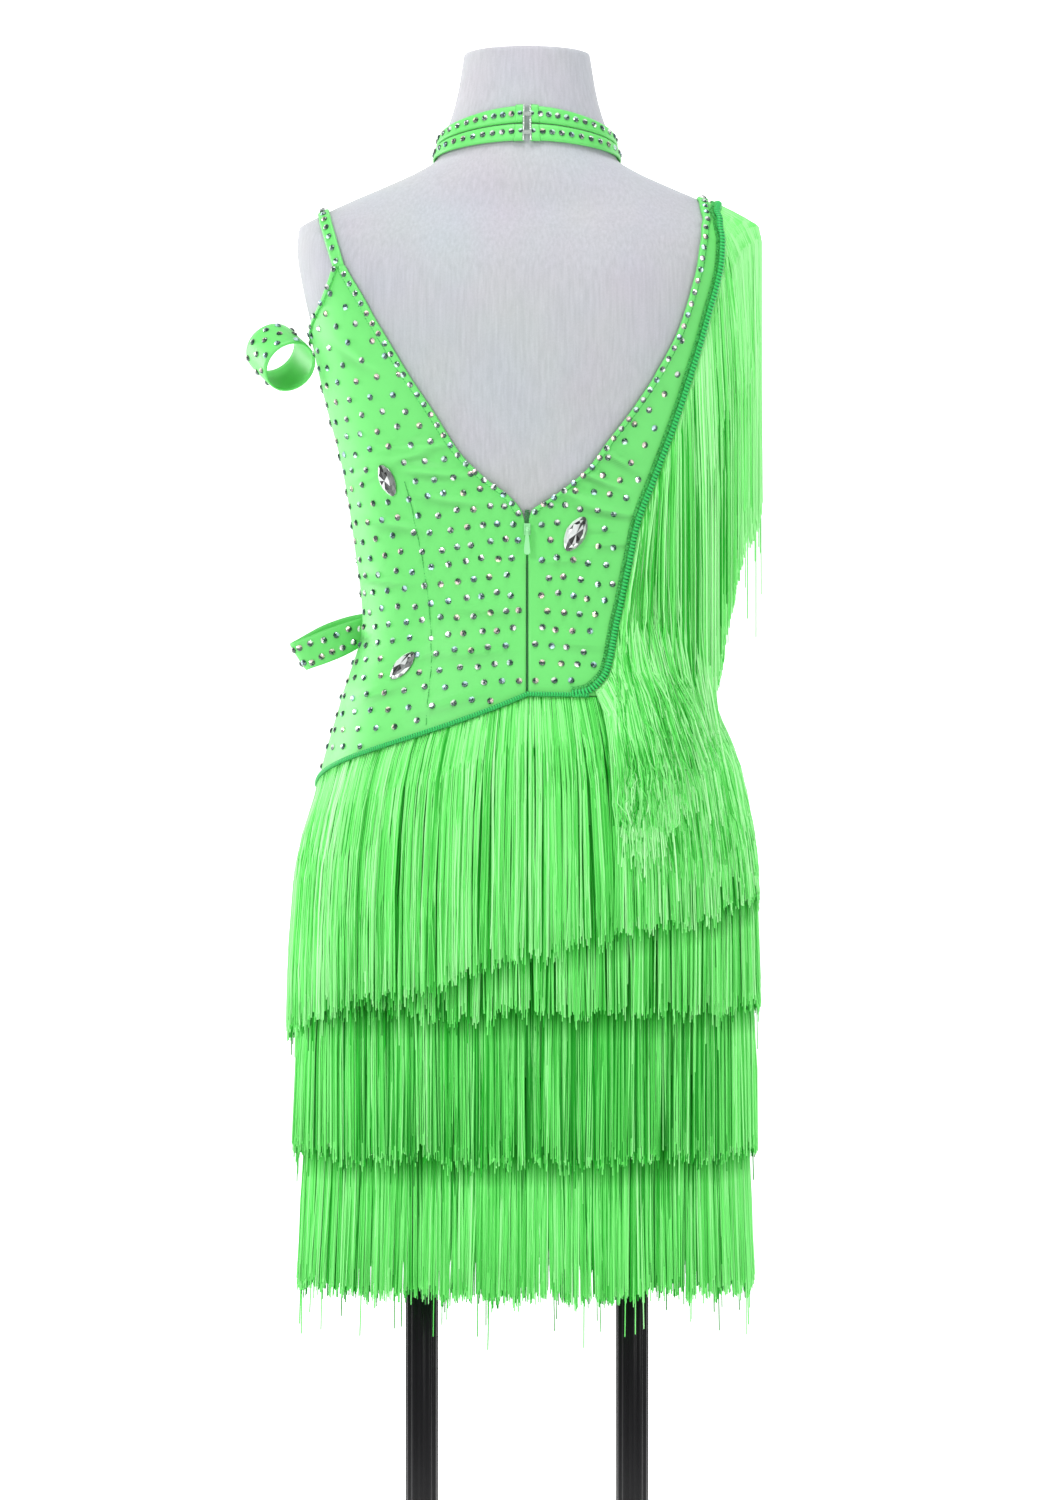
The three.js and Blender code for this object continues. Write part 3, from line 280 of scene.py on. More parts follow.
jersey_shader.inputs["Sheen Weight"].default_value = 0.15
form_cover.data.materials.append(jersey)

# The stand is two black fluted posts, pushed into the form's foot and screwed to a flat steel plate.
# Everything on it is painted satin black; the plate keeps its own shape.
POST = {"x": 82, "radius": 12.8, "flute": 0.9, "flutes": 12, "low": 12.3, "high": 619.7}
STAND_BLACK = (0.003, 0.003, 0.004, 1)


def post_points(side, columns=96):
    """A round post whose radius dips by a rounded flute twelve times round, drawn out straight up."""
    angle = np.linspace(0, 2 * math.pi, columns, endpoint=False)
    dip = POST["flute"] * np.abs(np.sin(angle * POST["flutes"] / 2)) ** 3
    radius = POST["radius"] - 0.1 - dip
    shape = np.stack([radius * np.cos(angle), radius * np.sin(angle)], axis=-1)
    low, high = POST["low"], POST["high"]
    levels = [(0, low), (0.97, low), (1, low + 0.4), (1, (low + high) / 2), (1, high - 0.4), (0.97, high),
              (0, high)]
    rings = [np.concatenate([shape * s, np.full((columns, 1), z)], axis=1) for s, z in levels]
    return (np.array(rings) + np.array([side * POST["x"], 0, 0])) * MM


satin, satin_shader, satin_node, satin_link = new_material("satin_black", STAND_BLACK, 0.32)
satin_place = satin_node("ShaderNodeTexCoord")
satin_stretch = satin_node("ShaderNodeMapping", Vector=satin_place.outputs["Object"],
                           Scale=(220.0, 220.0, 3.0))
satin_streak = satin_node("ShaderNodeTexNoise", Vector=satin_stretch.outputs[0], Scale=1.0, Detail=4.0)
satin_rough = satin_node("ShaderNodeMapRange", Value=satin_streak.outputs[0])
satin_rough.inputs["To Min"].default_value = 0.2
satin_rough.inputs["To Max"].default_value = 0.34
satin_link(satin_rough.outputs[0], satin_shader.inputs["Roughness"])
satin_shader.inputs["Specular IOR Level"].default_value = 0.3
satin_bump = satin_node("ShaderNodeBump", Strength=0.08, Distance=0.0003, Height=satin_streak.outputs[0])
satin_link(satin_bump.outputs[0], satin_shader.inputs["Normal"])

for post_name, post_side in (("left", 1), ("right", -1)):
    fluted = grid_object("fluted_post_" + post_name, post_points(post_side), closed=True)
    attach(fluted, "dress")
    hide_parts("post_" + post_name)
    fluted.data.materials.append(satin)
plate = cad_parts["base_plate"]
plate.data.materials.clear()
plate.data.materials.append(satin)

# The bodice is cut from two-way stretch cloth: two back panels that meet at the zip, and one front.
# The panels are sewn at the sides and shoulders and lie close to the figure, with soft drag lines whose
# troughs are darkened with painted shade.
SIDE = 999
CENTRE_EDGE = 0.9
BACK_LEFT = [
    # edge x and height, then outer edge x and height, going up; SIDE is the seam at the side
    (CENTRE_EDGE, 970.5, SIDE, 901), (CENTRE_EDGE, 1000, SIDE, 945), (CENTRE_EDGE, 1030, SIDE, 985),
    (CENTRE_EDGE, 1060, SIDE, 1025), (CENTRE_EDGE, 1090, SIDE, 1065), (3.8, 1108.4, SIDE, 1100),
    (14.4, 1122, SIDE, 1130), (32.6, 1135.6, SIDE, 1155), (52.3, 1156, SIDE, 1180),
    (73.6, 1189.5, SIDE, 1210), (88, 1210.8, SIDE, 1230), (103.2, 1236, SIDE, 1246.6),
    (109.4, 1246.4, 166.6, 1251), (115.5, 1256.8, 165.5, 1256), (124.8, 1274, 159, 1269),
    (132.5, 1287, 152.3, 1284), (138.4, 1298, 147.5, 1297.7),
]
BACK_RIGHT = [
    (-CENTRE_EDGE, 969.5, -SIDE, 968), (-CENTRE_EDGE, 1000, -SIDE, 1000), (-CENTRE_EDGE, 1030, -SIDE, 1032),
    (-CENTRE_EDGE, 1060, -SIDE, 1064), (-CENTRE_EDGE, 1090, -SIDE, 1096), (-3, 1109.2, -SIDE, 1120),
    (-15, 1118, -SIDE, 1140), (-27.3, 1126.6, -SIDE, 1158), (-45.5, 1141.8, -SIDE, 1180),
    (-59.9, 1161.5, -SIDE, 1200), (-77.4, 1184.3, -SIDE, 1222), (-92.6, 1206.4, -SIDE, 1246),
    (-98.7, 1217, -167.2, 1254), (-104.8, 1227.8, -166, 1262), (-114, 1246.2, -160, 1276),
    (-120.9, 1266.2, -155, 1290), (-127.1, 1288.5, -152, 1306), (-131.1, 1310.6, -150.5, 1322),
    (-133.1, 1328.6, -150, 1334), (-133, 1343.6, -150, 1343), (-132.4, 1350.5, -150, 1346.8),
    (-131.6, 1355, -150, 1348.4), (-SIDE, 1357.3, -SIDE, 1349.1),
]
FRONT_LEFT = [
    (0, 925, SIDE, 901), (0, 960, SIDE, 945), (0, 995, SIDE, 985), (0, 1030, SIDE, 1025),
    (0, 1065, SIDE, 1065), (0, 1100, SIDE, 1100), (0, 1135, SIDE, 1130), (0, 1165, SIDE, 1155),
    (0, 1190, SIDE, 1180), (0, 1212, SIDE, 1210), (0, 1228, SIDE, 1230), (24, 1236, SIDE, 1246.6),
    (42, 1243, 166.6, 1251), (60, 1250, 165.5, 1256), (92, 1266, 159, 1269), (118, 1282, 152.3, 1284),
    (138.4, 1298, 147.5, 1297.7),
]
FRONT_RIGHT = [
    (0, 925, -SIDE, 968), (0, 960, -SIDE, 1000), (0, 995, -SIDE, 1032), (0, 1030, -SIDE, 1064),
    (0, 1065, -SIDE, 1096), (0, 1100, -SIDE, 1120), (0, 1135, -SIDE, 1140), (0, 1165, -SIDE, 1158),
    (0, 1190, -SIDE, 1180), (0, 1212, -SIDE, 1200), (0, 1228, -SIDE, 1222), (-24, 1236, -SIDE, 1246),
    (-42, 1243, -167.2, 1254), (-60, 1250, -166, 1262), (-90, 1268, -160, 1276),
    (-110, 1290, -155, 1290), (-122, 1312, -152, 1306), (-129, 1330, -150.5, 1322),
    (-131.5, 1341, -150, 1334), (-132, 1348, -150, 1342), (-132, 1353, -150, 1346.5),
    (-131.6, 1356.2, -150, 1348.4), (-SIDE, 1357.3, -SIDE, 1349.1),
]
CRYSTALS = [
    # node, x, height, long, wide, lean in degrees, distance from the cloth
    ("crystal_back_upper", 105.5, 1135, 26.5, 14.2, 24, 0.5),
    ("crystal_back_right", -36.5, 1092.7, 29.5, 15.8, -28, 0.5),
    ("crystal_back_lower", 93.7, 992, 27, 14.4, -36, 0.3),
]
CLOTH_FACE = 1.8
CLOTH_THICKNESS = 1.1
CLOTH_GREEN = (0.15, 0.70, 0.16, 1)
CREASE_STRENGTH = 3.8
CREASES = [
    # x, height, half length, half width, lean in degrees from level, depth; on the back
    (-38, 1122, 26, 3.2, 14, 1.1), (-52, 1136, 22, 3.0, 22, 1.0), (-60, 1112, 30, 3.6, 10, 1.1),
    (-48, 1098, 24, 3.0, 4, 0.8), (-70, 1150, 20, 3.2, 30, 0.9), (-62, 1086, 22, 3.4, -4, 0.8),
    (-30, 1074, 24, 3.4, -6, 0.5), (96, 1152, 26, 3.4, -10, 1.0), (84, 1160, 30, 3.0, -4, 0.9),
    (72, 1140, 30, 3.4, 6, 0.8), (112, 1142, 18, 3.4, -24, 0.8), (60, 1120, 30, 4.0, 8, 0.6),
    (100, 1102, 26, 4.4, 12, 0.6), (112, 1060, 28, 4.0, 8, 0.6), (90, 1000, 30, 4.5, -12, 0.6),
    (110, 975, 30, 4.5, -20, 0.7), (40, 1004, 34, 4.6, -4, 0.5), (30, 1036, 30, 4.2, 3, 0.45),
    (-40, 1010, 26, 4.0, 5, 0.5), (60, 965, 34, 4.5, -16, 0.5), (128, 1020, 22, 4.0, 26, 0.9),
    (132, 1230, 22, 4.0, 35, 0.5),
]
FRONT_CREASES = [
    (95, 1150, 28, 4.0, 16, 0.8), (-95, 1146, 28, 4.0, -14, 0.8), (60, 1120, 34, 4.4, 8, 0.6),
    (-64, 1112, 34, 4.4, -9, 0.6), (20, 1040, 40, 4.6, 3, 0.5), (-50, 1018, 34, 4.4, -6, 0.6),
    (88, 990, 34, 4.6, -12, 0.7), (-20, 975, 40, 4.6, 5, 0.5), (120, 1225, 22, 4.2, 30, 0.6),
    (-128, 1228, 20, 4.2, -32, 0.6), (10, 1090, 40, 5.0, -2, 0.4), (40, 1215, 30, 5.0, 14, 0.5),
]
DART = np.array([(92.3, 1133.7), (86.9, 1112.4), (82.4, 1089.5), (79.3, 1075), (74.7, 1044.5),
                 (72.4, 1017.7), (72.2, 991.6), (74.2, 968.8), (75.7, 954.3)])


def turn_at(x, height, face="back"):
    """The turn at which the figure is x mm from its middle, found by halving. Past its side, a quarter."""
    x, height = np.broadcast_arrays(np.asarray(x, float), np.asarray(height, float))
    low, high = np.zeros(x.shape), np.full(x.shape, QUARTER)
    for _ in range(30):
        middle = (low + high) / 2
        there = middle if face == "back" else math.pi - middle
        short = figure_reach(there, height) * np.sin(middle) < np.abs(x)
        low, high = np.where(short, middle, low), np.where(short, high, middle)
    turn = (low + high) / 2
    side = np.where(x < 0, -1, 1)
    return side * (turn if face == "back" else math.pi - turn)


def through(values, t):
    """A Catmull-Rom curve through evenly spaced values, read at t from 0 to 1."""
    values = np.asarray(values, float)
    place = np.clip(t, 0, 1) * (len(values) - 1)
    i = np.minimum(place.astype(int), len(values) - 2)
    s = place - i
    before, after = values[np.maximum(i - 1, 0)], values[np.minimum(i + 2, len(values) - 1)]
    a, b = values[i], values[i + 1]
    return 0.5 * (2 * a + (b - before) * s + (2 * before - 5 * a + 4 * b - after) * s ** 2
                  + (3 * a - before - 3 * b + after) * s ** 3)


def panel_edges(table, face, t):
    """The turns and heights of a panel's two edges at t from 0, its lower end, to 1, its top."""
    rows = np.array(table, float)
    near = turn_at(rows[:, 0], rows[:, 1], face)
    near = np.where(rows[:, 0] == 0, np.sign(rows[0, 2]) * math.pi, near)
    far = turn_at(rows[:, 2], rows[:, 3], face)
    return through(near, t), through(rows[:, 1], t), through(far, t), through(rows[:, 3], t)


def crease_depth(points, creases):
    """Each crease is a soft trough with a low ridge beside it: a bell along it times a wave across it."""
    depth = np.zeros(points.shape[:-1])
    for x, height, long, wide, lean, deep in creases:
        angle = math.radians(lean)
        dx, dz = points[..., 0] - x, points[..., 2] - height
        along = (dx * math.cos(angle) + dz * math.sin(angle)) / long
        bow = 0.25 * wide * along ** 2
        across = (dz * math.cos(angle) - dx * math.sin(angle) - bow) / (1.1 * wide)
        depth += deep * np.exp(-along ** 2 * 1.6) * (0.9 * across + 0.2) * np.exp(-across ** 2 * 0.8)
    for _, x, height, _, _, _, _ in CRYSTALS:
        depth *= 1 - np.exp(-((points[..., 0] - x) ** 2 + (points[..., 2] - height) ** 2) / 260)
    return depth * CREASE_STRENGTH


def dart_depth(points):
    """The sewn dart is a fine groove with a soft roll on each side, along a line down the left back."""
    x = np.interp(points[..., 2], DART[::-1, 1], DART[::-1, 0])
    inside = np.clip((DART[0, 1] - points[..., 2]) / 12, 0, 1)
    away = points[..., 0] - x
    groove = -0.9 * np.exp(-(away / 0.8) ** 2) + 0.35 * np.exp(-((np.abs(away) - 3) / 2.2) ** 2)
    return groove * inside * (points[..., 0] > 0)


def cloth_lift(turn, height):
    """How far the cloth stands off its smooth lie at a spot: the creases of that face, and the dart."""
    flat = ring_point(turn, height)
    on_back = crease_depth(flat, CREASES) + dart_depth(flat)
    return np.where(np.cos(turn) >= 0, on_back, crease_depth(flat, FRONT_CREASES))


def panel_points(table, face, rows, columns, out=CLOTH_FACE):
    """Rows between a panel's two edges, straight in turn and height, on the figure, with its creases."""
    t = np.linspace(0, 1, rows)
    near, near_height, far, far_height = (v[:, None] for v in panel_edges(table, face, t))
    s = np.linspace(0, 1, columns)[None, :]
    turn, height = near + (far - near) * s, near_height + (far_height - near_height) * s
    flat = ring_point(turn, height)
    lift = crease_depth(flat, CREASES if face == "back" else FRONT_CREASES)
    if face == "back":
        lift = lift + dart_depth(flat)
    calm = np.clip(np.minimum(s, 1 - s) / 0.08 - 0.2, 0, 1)
    return skin_point(turn, height, out + lift * calm) * MM


def add_wall(piece, thickness=CLOTH_THICKNESS):
    """Gives a sheet its thickness, on the side towards the figure."""
    wall = piece.modifiers.new("wall", "SOLIDIFY")
    wall.thickness = thickness * MM
    wall.offset = -1


def facing_out(points):
    """The grid with its columns turned round if its faces would look towards the figure."""
    a, b, c = points[0, 0], points[0, -1], points[-1, points.shape[1] // 2]
    middle = points[points.shape[0] // 2, points.shape[1] // 2]
    outwards = np.dot(np.cross(b - a, c - a), middle * np.array([1, 1, 0]))
    return points if outwards > 0 else points[:, ::-1]


stretch, stretch_shader, stretch_node, stretch_link = new_material("green_stretch_cloth", CLOTH_GREEN, 0.5)
stretch_place = stretch_node("ShaderNodeTexCoord")
stretch_spot = stretch_place.outputs["Object"]
stretch_knit = stretch_node("ShaderNodeTexNoise", Vector=stretch_spot, Scale=1500.0, Detail=2.0)
stretch_cloud = stretch_node("ShaderNodeTexNoise", Vector=stretch_spot, Scale=9.0, Detail=2.0)
stretch_tone = stretch_node("ShaderNodeMix", {"data_type": "RGBA"}, Factor=stretch_cloud.outputs[0])
stretch_tone.inputs["A"].default_value = (0.118, 0.585, 0.125, 1)
stretch_tone.inputs["B"].default_value = (0.148, 0.645, 0.155, 1)
# Where the cloth dips into a crease, its colour is darkened by up to three tenths: painted shade in the
# troughs, read from the crease depth stored on each point.
stretch_crease_shade = stretch_node("ShaderNodeAttribute", {"attribute_name": "fold"})
stretch_trough_shade = stretch_node("ShaderNodeMapRange", Value=stretch_crease_shade.outputs["Fac"])
stretch_trough_shade.inputs["From Min"].default_value = -0.28
stretch_trough_shade.inputs["From Max"].default_value = 0.0
stretch_trough_shade.inputs["To Min"].default_value = 0.70
stretch_trough_shade.inputs["To Max"].default_value = 1.0
stretch_shaded = stretch_node("ShaderNodeVectorMath", {"operation": "SCALE"},
                              Vector=stretch_tone.outputs["Result"])
stretch_link(stretch_trough_shade.outputs[0], stretch_shaded.inputs["Scale"])
stretch_link(stretch_shaded.outputs[0], stretch_shader.inputs["Base Color"])
stretch_bump = stretch_node("ShaderNodeBump", Strength=0.12, Distance=0.0002, Height=stretch_knit.outputs[0])
stretch_link(stretch_bump.outputs[0], stretch_shader.inputs["Normal"])
stretch_shader.inputs["Sheen Weight"].default_value = 0.15
stretch_shader.inputs["Sheen Roughness"].default_value = 0.4
stretch_shader.inputs["Sheen Tint"].default_value = (0.75, 1, 0.75, 1)
# A faint green glow on top of the lamps' light: painted light that brightens the neon cloth.
stretch_shader.inputs["Emission Color"].default_value = (0.1, 1.0, 0.1, 1)
stretch_shader.inputs["Emission Strength"].default_value = 0.06


def mark_crease_shade(piece):
    """Stores on each point of a panel how high it stands on a crease, below zero in a trough, for the painted
    shade that darkens the troughs.
    """
    points = np.empty(len(piece.data.vertices) * 3, np.float32)
    piece.data.vertices.foreach_get("co", points)
    points = points.reshape(-1, 3) / MM
    fold = np.where(points[:, 1] >= 0, crease_depth(points, CREASES), crease_depth(points, FRONT_CREASES))
    layer = piece.data.attributes.new("fold", "FLOAT", "POINT")
    layer.data.foreach_set("value", (fold / CREASE_STRENGTH).astype(np.float32))


left_back = grid_object("left_back", facing_out(panel_points(BACK_LEFT, "back", 180, 72)))
right_back = grid_object("right_back", facing_out(panel_points(BACK_RIGHT, "back", 180, 64)))
left_half = panel_points(FRONT_LEFT, "front", 100, 52)
right_half = panel_points(FRONT_RIGHT, "front", 108, 52)
front_left = grid_object("front_left_half", facing_out(left_half))
front_right = grid_object("front_right_half", facing_out(right_half))


def join_pieces(name, parts, weld):
    """One object from several, with points nearer than weld metres made one."""
    whole = bmesh.new()
    for item in parts:
        whole.from_mesh(item.data)
    bmesh.ops.remove_doubles(whole, verts=whole.verts, dist=weld)
    mesh = bpy.data.meshes.new(name)
    whole.to_mesh(mesh)
    whole.free()
    for item in parts:
        bpy.data.objects.remove(item)
    mesh.polygons.foreach_set("use_smooth", np.ones(len(mesh.polygons), bool))
    piece = bpy.data.objects.new(name, mesh)
    bpy.context.collection.objects.link(piece)
    return piece


front = join_pieces("front", [front_left, front_right], 0.0002)
for panel, node_name, cut, cut_area in (
    (left_back, "bodice_back_left", (0.21, 0.41), 0.0535),
    (right_back, "bodice_back_right", (0.21, 0.40), 0.047),
    (front, "bodice_front", (0.42, 0.46), 0.128),
):
    mark_crease_shade(panel)
    add_wall(panel)
    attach(panel, "dress")
    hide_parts(node_name)
    panel.data.materials.append(stretch)

# The left strap is a narrow folded band from the top of the left back over the shoulder to the front.
# It is stitched under the bindings at both ends.
STRAP = {"inner": (138.4, 153.6), "outer": (147.5, 162.1), "foot": 1297}


def shoulder_height(x):
    """The height of the shoulder line at each x, read back from the half width."""
    height = np.linspace(1335, 1388, 400)
    return np.interp(-np.asarray(x, float), -figure_measure("half_width", height), height)


def strap_spot(level, share):
    """The turn and height of a strap point: level is -1 on the back, 0 on the shoulder and 1 in front."""
    rise = 1 - np.abs(level)
    foot = STRAP["inner"][0] + (STRAP["outer"][0] - STRAP["inner"][0]) * share
    top = STRAP["inner"][1] + (STRAP["outer"][1] - STRAP["inner"][1]) * share
    rise = 1 - (1 - rise) ** 2
    x = foot + (top - foot) * rise
    height = STRAP["foot"] + (shoulder_height(top) - STRAP["foot"]) * rise
    back, ahead = turn_at(x, height, "back"), turn_at(x, height, "front")
    return np.where(level <= 0, back, ahead), height


def strap_points():
    """A band with rounded edges, on the figure, from the back to the front."""
    level = np.linspace(-1, 1, 81)[:, None]
    share = np.linspace(0, 1, 9)[None, :]
    level, share = np.broadcast_arrays(level, share)
    turn, height = strap_spot(level, share)
    roll = 0.9 * np.sqrt(np.clip(1 - (2 * share - 1) ** 4, 0, 1))
    return skin_point(turn, height, CLOTH_FACE + roll) * MM


strap = grid_object("left_strap", facing_out(strap_points()))
add_wall(strap)
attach(strap, "dress")
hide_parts("shoulder_strap_left")
strap.data.materials.append(stretch)

# The neckline and the left armhole are bound with a folded strip of the same cloth.
# One line of stitching holds each strip down near its inner fold.
BINDINGS = [
    # name, node, table, face, first and last place along the panel, width, on the outer edge
    ("neck_binding_left_back", ["neck_binding_left"], BACK_LEFT, "back", 5 / 16, 1, 7.5, False),
    ("neck_binding_right_back", ["neck_binding_right"], BACK_RIGHT, "back", 5 / 22, 1, 7.5, False),
    ("armhole_binding_left_back", ["armhole_binding_left"], BACK_LEFT, "back", 11 / 16, 1, 6, True),
    ("neck_binding_left_front", [], FRONT_LEFT, "front", 10 / 16, 1, 7.5, False),
    ("neck_binding_right_front", [], FRONT_RIGHT, "front", 10 / 22, 1, 7.5, False),
    ("armhole_binding_left_front", [], FRONT_LEFT, "front", 11 / 16, 1, 6, True),
]
BINDING_LIFT = 1.3


def binding_points(table, face, first, last, width, outer):
    """A strip of even width along one edge of a panel: a rounded roll with a groove where it is stitched."""
    t = np.linspace(first, last, 100)
    near, near_height, far, far_height = (v[:, None] for v in panel_edges(table, face, t))
    length = np.linalg.norm(ring_point(far, far_height) - ring_point(near, near_height), axis=-1)
    share = np.minimum(width / np.maximum(length, 1), 0.46)
    a = np.linspace(-0.06, 1, 12)[None, :]
    s = 1 - a * share if outer else a * share
    turn, height = near + (far - near) * s, near_height + (far_height - near_height) * s
    roll = np.clip(1 - np.abs(2 * np.clip(a, 0, 1) - 1) ** 5, 0, 1) ** 0.5
    groove = 0.55 * np.exp(-((a - 0.86) / 0.045) ** 2)
    lift = BINDING_LIFT * roll - groove - 0.9 * (a < -0.02)
    return skin_point(turn, height, CLOTH_FACE + 0.1 + lift) * MM


for trim_name, trim_nodes, table, face, first, last, width, outer in BINDINGS:
    strip = grid_object(trim_name, facing_out(binding_points(table, face, first, last, width, outer)))
    add_wall(strip, 0.7)
    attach(strip, "dress")
    if trim_nodes:
        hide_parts(*trim_nodes)
    strip.data.materials.append(stretch)

# Under the fringe the skirt is a plain tube of the same cloth, sewn to the bodice's slanting edge.
# It carries the headers of the lower three tiers.
BODICE_EDGE = {"left": 901, "right": 968, "back": 970, "front": 925}
SKIRT_HEM = 650


def four_sides(turn, sides):
    """A value that is given at the back, left, front and right, and runs straight in turn between them."""
    wrapped = np.arctan2(np.sin(turn), np.cos(turn))
    side = np.where(wrapped >= 0, sides["left"], sides["right"])
    part = np.abs(wrapped) / QUARTER
    back_half = sides["back"] + (side - sides["back"]) * part
    return np.where(part <= 1, back_half, side + (sides["front"] - side) * (part - 1))


def skirt_points():
    """Rings of the figure from the bodice's edge down to the hem, with faint vertical puckers."""
    turn = -np.linspace(0, 2 * math.pi, 140, endpoint=False)[None, :]
    t = np.linspace(0, 1, 30)[:, None]
    top = four_sides(turn, BODICE_EDGE) - 1
    height = top + (SKIRT_HEM - top) * t
    return skin_point(turn, height, 1.5 + 0.25 * np.sin(23 * turn) * np.sin(math.pi * t)) * MM


skirt = grid_object("skirt_foundation", skirt_points()[::-1], closed=True)
add_wall(skirt)
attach(skirt, "dress")
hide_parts("skirt_back", "skirt_front")
skirt.data.materials.append(stretch)

# The collar is two narrow bands sewn one above the other, with a slit between them, round the neck.
# At the back they end in folded tabs with a bright edge, fastened by two small hooks.
COLLAR = {"low": 1387, "high": 1408, "low_tilt": 8.5, "back_rise": 15.6, "front_drop": 7, "slit": 0.7}
COLLAR_GAP_TURN = 0.045
TAB_TURNS = (0.042, 0.19)


def collar_height(turn, level):
    """The collar's heights lie between two tilted rings, lower in front than behind."""
    c = np.cos(turn)
    low = COLLAR["low"] + COLLAR["low_tilt"] * c
    high = COLLAR["high"] + np.where(c > 0, COLLAR["back_rise"], COLLAR["front_drop"]) * c
    return low + (high - low) * level


def collar_points(low, high):
    """A band with rounded edges round the neck, open at the back."""
    turn = np.linspace(COLLAR_GAP_TURN, 2 * math.pi - COLLAR_GAP_TURN, 200)[None, :]
    a = np.linspace(0, 1, 11)[:, None]
    roll = 1.1 * np.clip(1 - np.abs(2 * a - 1) ** 5, 0, 1) ** 0.5
    height = collar_height(turn, low + (high - low) * a)
    return skin_point(turn, height, CLOTH_FACE - 0.6 + roll + 0 * turn) * MM


half_slit = COLLAR["slit"] / 50
for band_name, low, high in (("upper", 0.5 + half_slit, 1), ("lower", 0, 0.5 - half_slit)):
    band = grid_object("neck_band_" + band_name, collar_points(low, high)[:, ::-1])
    add_wall(band)
    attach(band, "dress")
    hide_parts("collar_band_" + band_name)
    band.data.materials.append(stretch)


def tab_points(side, level_low, level_high):
    """A folded tab: a small pillow on the end of a band."""
    turn = side * np.linspace(TAB_TURNS[0], TAB_TURNS[1], 13)[None, :]
    a = np.linspace(0, 1, 11)[:, None]
    b = np.linspace(0, 1, 13)[None, :]
    roll = (np.clip(1 - np.abs(2 * a - 1) ** 6, 0, 1) * np.clip(1 - np.abs(2 * b - 1) ** 6, 0, 1)) ** 0.4
    height = collar_height(turn, level_low + (level_high - level_low) * a)
    return skin_point(turn, height, CLOTH_FACE + 0.2 + 1.2 * roll) * MM


edge_silver, silver_shader, silver_node, silver_link = new_material("bright_edge", (0.62, 0.70, 0.64, 1), 0.3)
silver_shader.inputs["Metallic"].default_value = 0.75
silver_place = silver_node("ShaderNodeTexCoord")
silver_speck = silver_node("ShaderNodeTexNoise", Vector=silver_place.outputs["Object"],
                           Scale=1400.0, Detail=2.0)
silver_bump = silver_node("ShaderNodeBump", Strength=0.7, Distance=0.0004, Height=silver_speck.outputs[0])
silver_link(silver_bump.outputs[0], silver_shader.inputs["Normal"])

for side_name, side in (("left", 1), ("right", -1)):
    tabs = [grid_object("tab", facing_out(tab_points(side, low, high)))
            for low, high in ((-0.03, 0.47), (0.51, 1.03))]
    tab = join_pieces("neck_tab_" + side_name, tabs, 0.00001)
    add_wall(tab, 0.8)
    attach(tab, "dress")
    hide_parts("collar_tab_" + side_name)
    tab.data.materials.append(stretch)
    turn = side * np.array([0.036, 0.066])[None, :]
    level = np.linspace(-0.03, 1.03, 30)[:, None]
    crimp = 0.25 * np.sin(level * 90)
    edge = skin_point(turn, collar_height(turn, level), CLOTH_FACE + 1.6 + crimp + 0 * turn) * MM
    trim = grid_object("neck_tab_edge_" + side_name, facing_out(edge))
    add_wall(trim, 0.7)
    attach(trim, "dress")
    trim.data.materials.append(edge_silver)
for hook_name in ("collar_hook_upper", "collar_hook_lower"):
    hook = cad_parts[hook_name]
    hook.data.materials.clear()
    hook.data.materials.append(edge_silver)

# Two loops of stiffened band stand off the left side, sewn to the bodice.
# The one under the arm is a ring. The one at the waist is a strip folded in two, sewn in at the side seam.
RING = {"centre": (192.6, -6, 1235.5), "axis": (17.5, -30, 18), "radius": 20.5, "band": 38}
FOLDED = np.array([
    # the upper edge's x, y and height, then the lower edge's, from one end of the strip to the other
    (126.6, 3.6, 1032.2, 131.6, 3.6, 1007.8), (142, 8, 1027.5, 143, 8, 1001.5), (160, 9, 1021, 155, 9, 996.5),
    (178, 6.5, 1014, 167, 6.5, 992.5), (185.2, 0, 1011.6, 172, 0, 991), (178, -6.5, 1016, 167, -6.5, 993.5),
    (160, -9.5, 1026, 155, -9.5, 1001), (142, -10, 1032.5, 141, -10, 1007),
    (126.4, -8.6, 1035.7, 130.6, -8.6, 1010.7),
])
LOOP_WALL = 1.4


def ring_spot(angle, width_share, out):
    """A point of the ring: a circle wider by out, moved along the way through it by a share of the band."""
    way = np.array(RING["axis"]) / np.linalg.norm(RING["axis"])
    along = np.cross(way, (0, 1, 0))
    along /= np.linalg.norm(along)
    across = np.cross(way, along)
    radius = RING["radius"] + out + 0.4 * np.sin(2 * angle + 0.7)
    return (np.array(RING["centre"]) + (radius * np.cos(angle))[..., None] * along
            + (radius * np.sin(angle))[..., None] * across + (RING["band"] * width_share)[..., None] * way)


def folded_spot(t, share, out):
    """A point of the strip: between its two edges, each a curve through the table, moved out of the fold."""
    def flat(at):
        """The point between the two edges, before it is moved out."""
        rows = np.stack([through(FOLDED[:, column], at) for column in range(6)], axis=-1)
        return rows[..., 3:] + (rows[..., :3] - rows[..., 3:]) * share[..., None]

    upper_minus_lower = np.stack([through(FOLDED[:, c] - FOLDED[:, c + 3], t) for c in range(3)], axis=-1)
    forward = flat(np.minimum(t + 0.01, 1)) - flat(np.maximum(t - 0.01, 0))
    normal = np.cross(upper_minus_lower, forward)
    normal /= np.linalg.norm(normal, axis=-1, keepdims=True)
    return flat(t) + np.asarray(out)[..., None] * normal, normal


def loop_piece(name, node_name, points, closed):
    """One loop from its outer face, with a wall and a rounded look at its edges."""
    band = grid_object(name, points * MM, closed=closed)
    add_wall(band, LOOP_WALL)
    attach(band, "dress")
    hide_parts(node_name)
    band.data.materials.append(stretch)


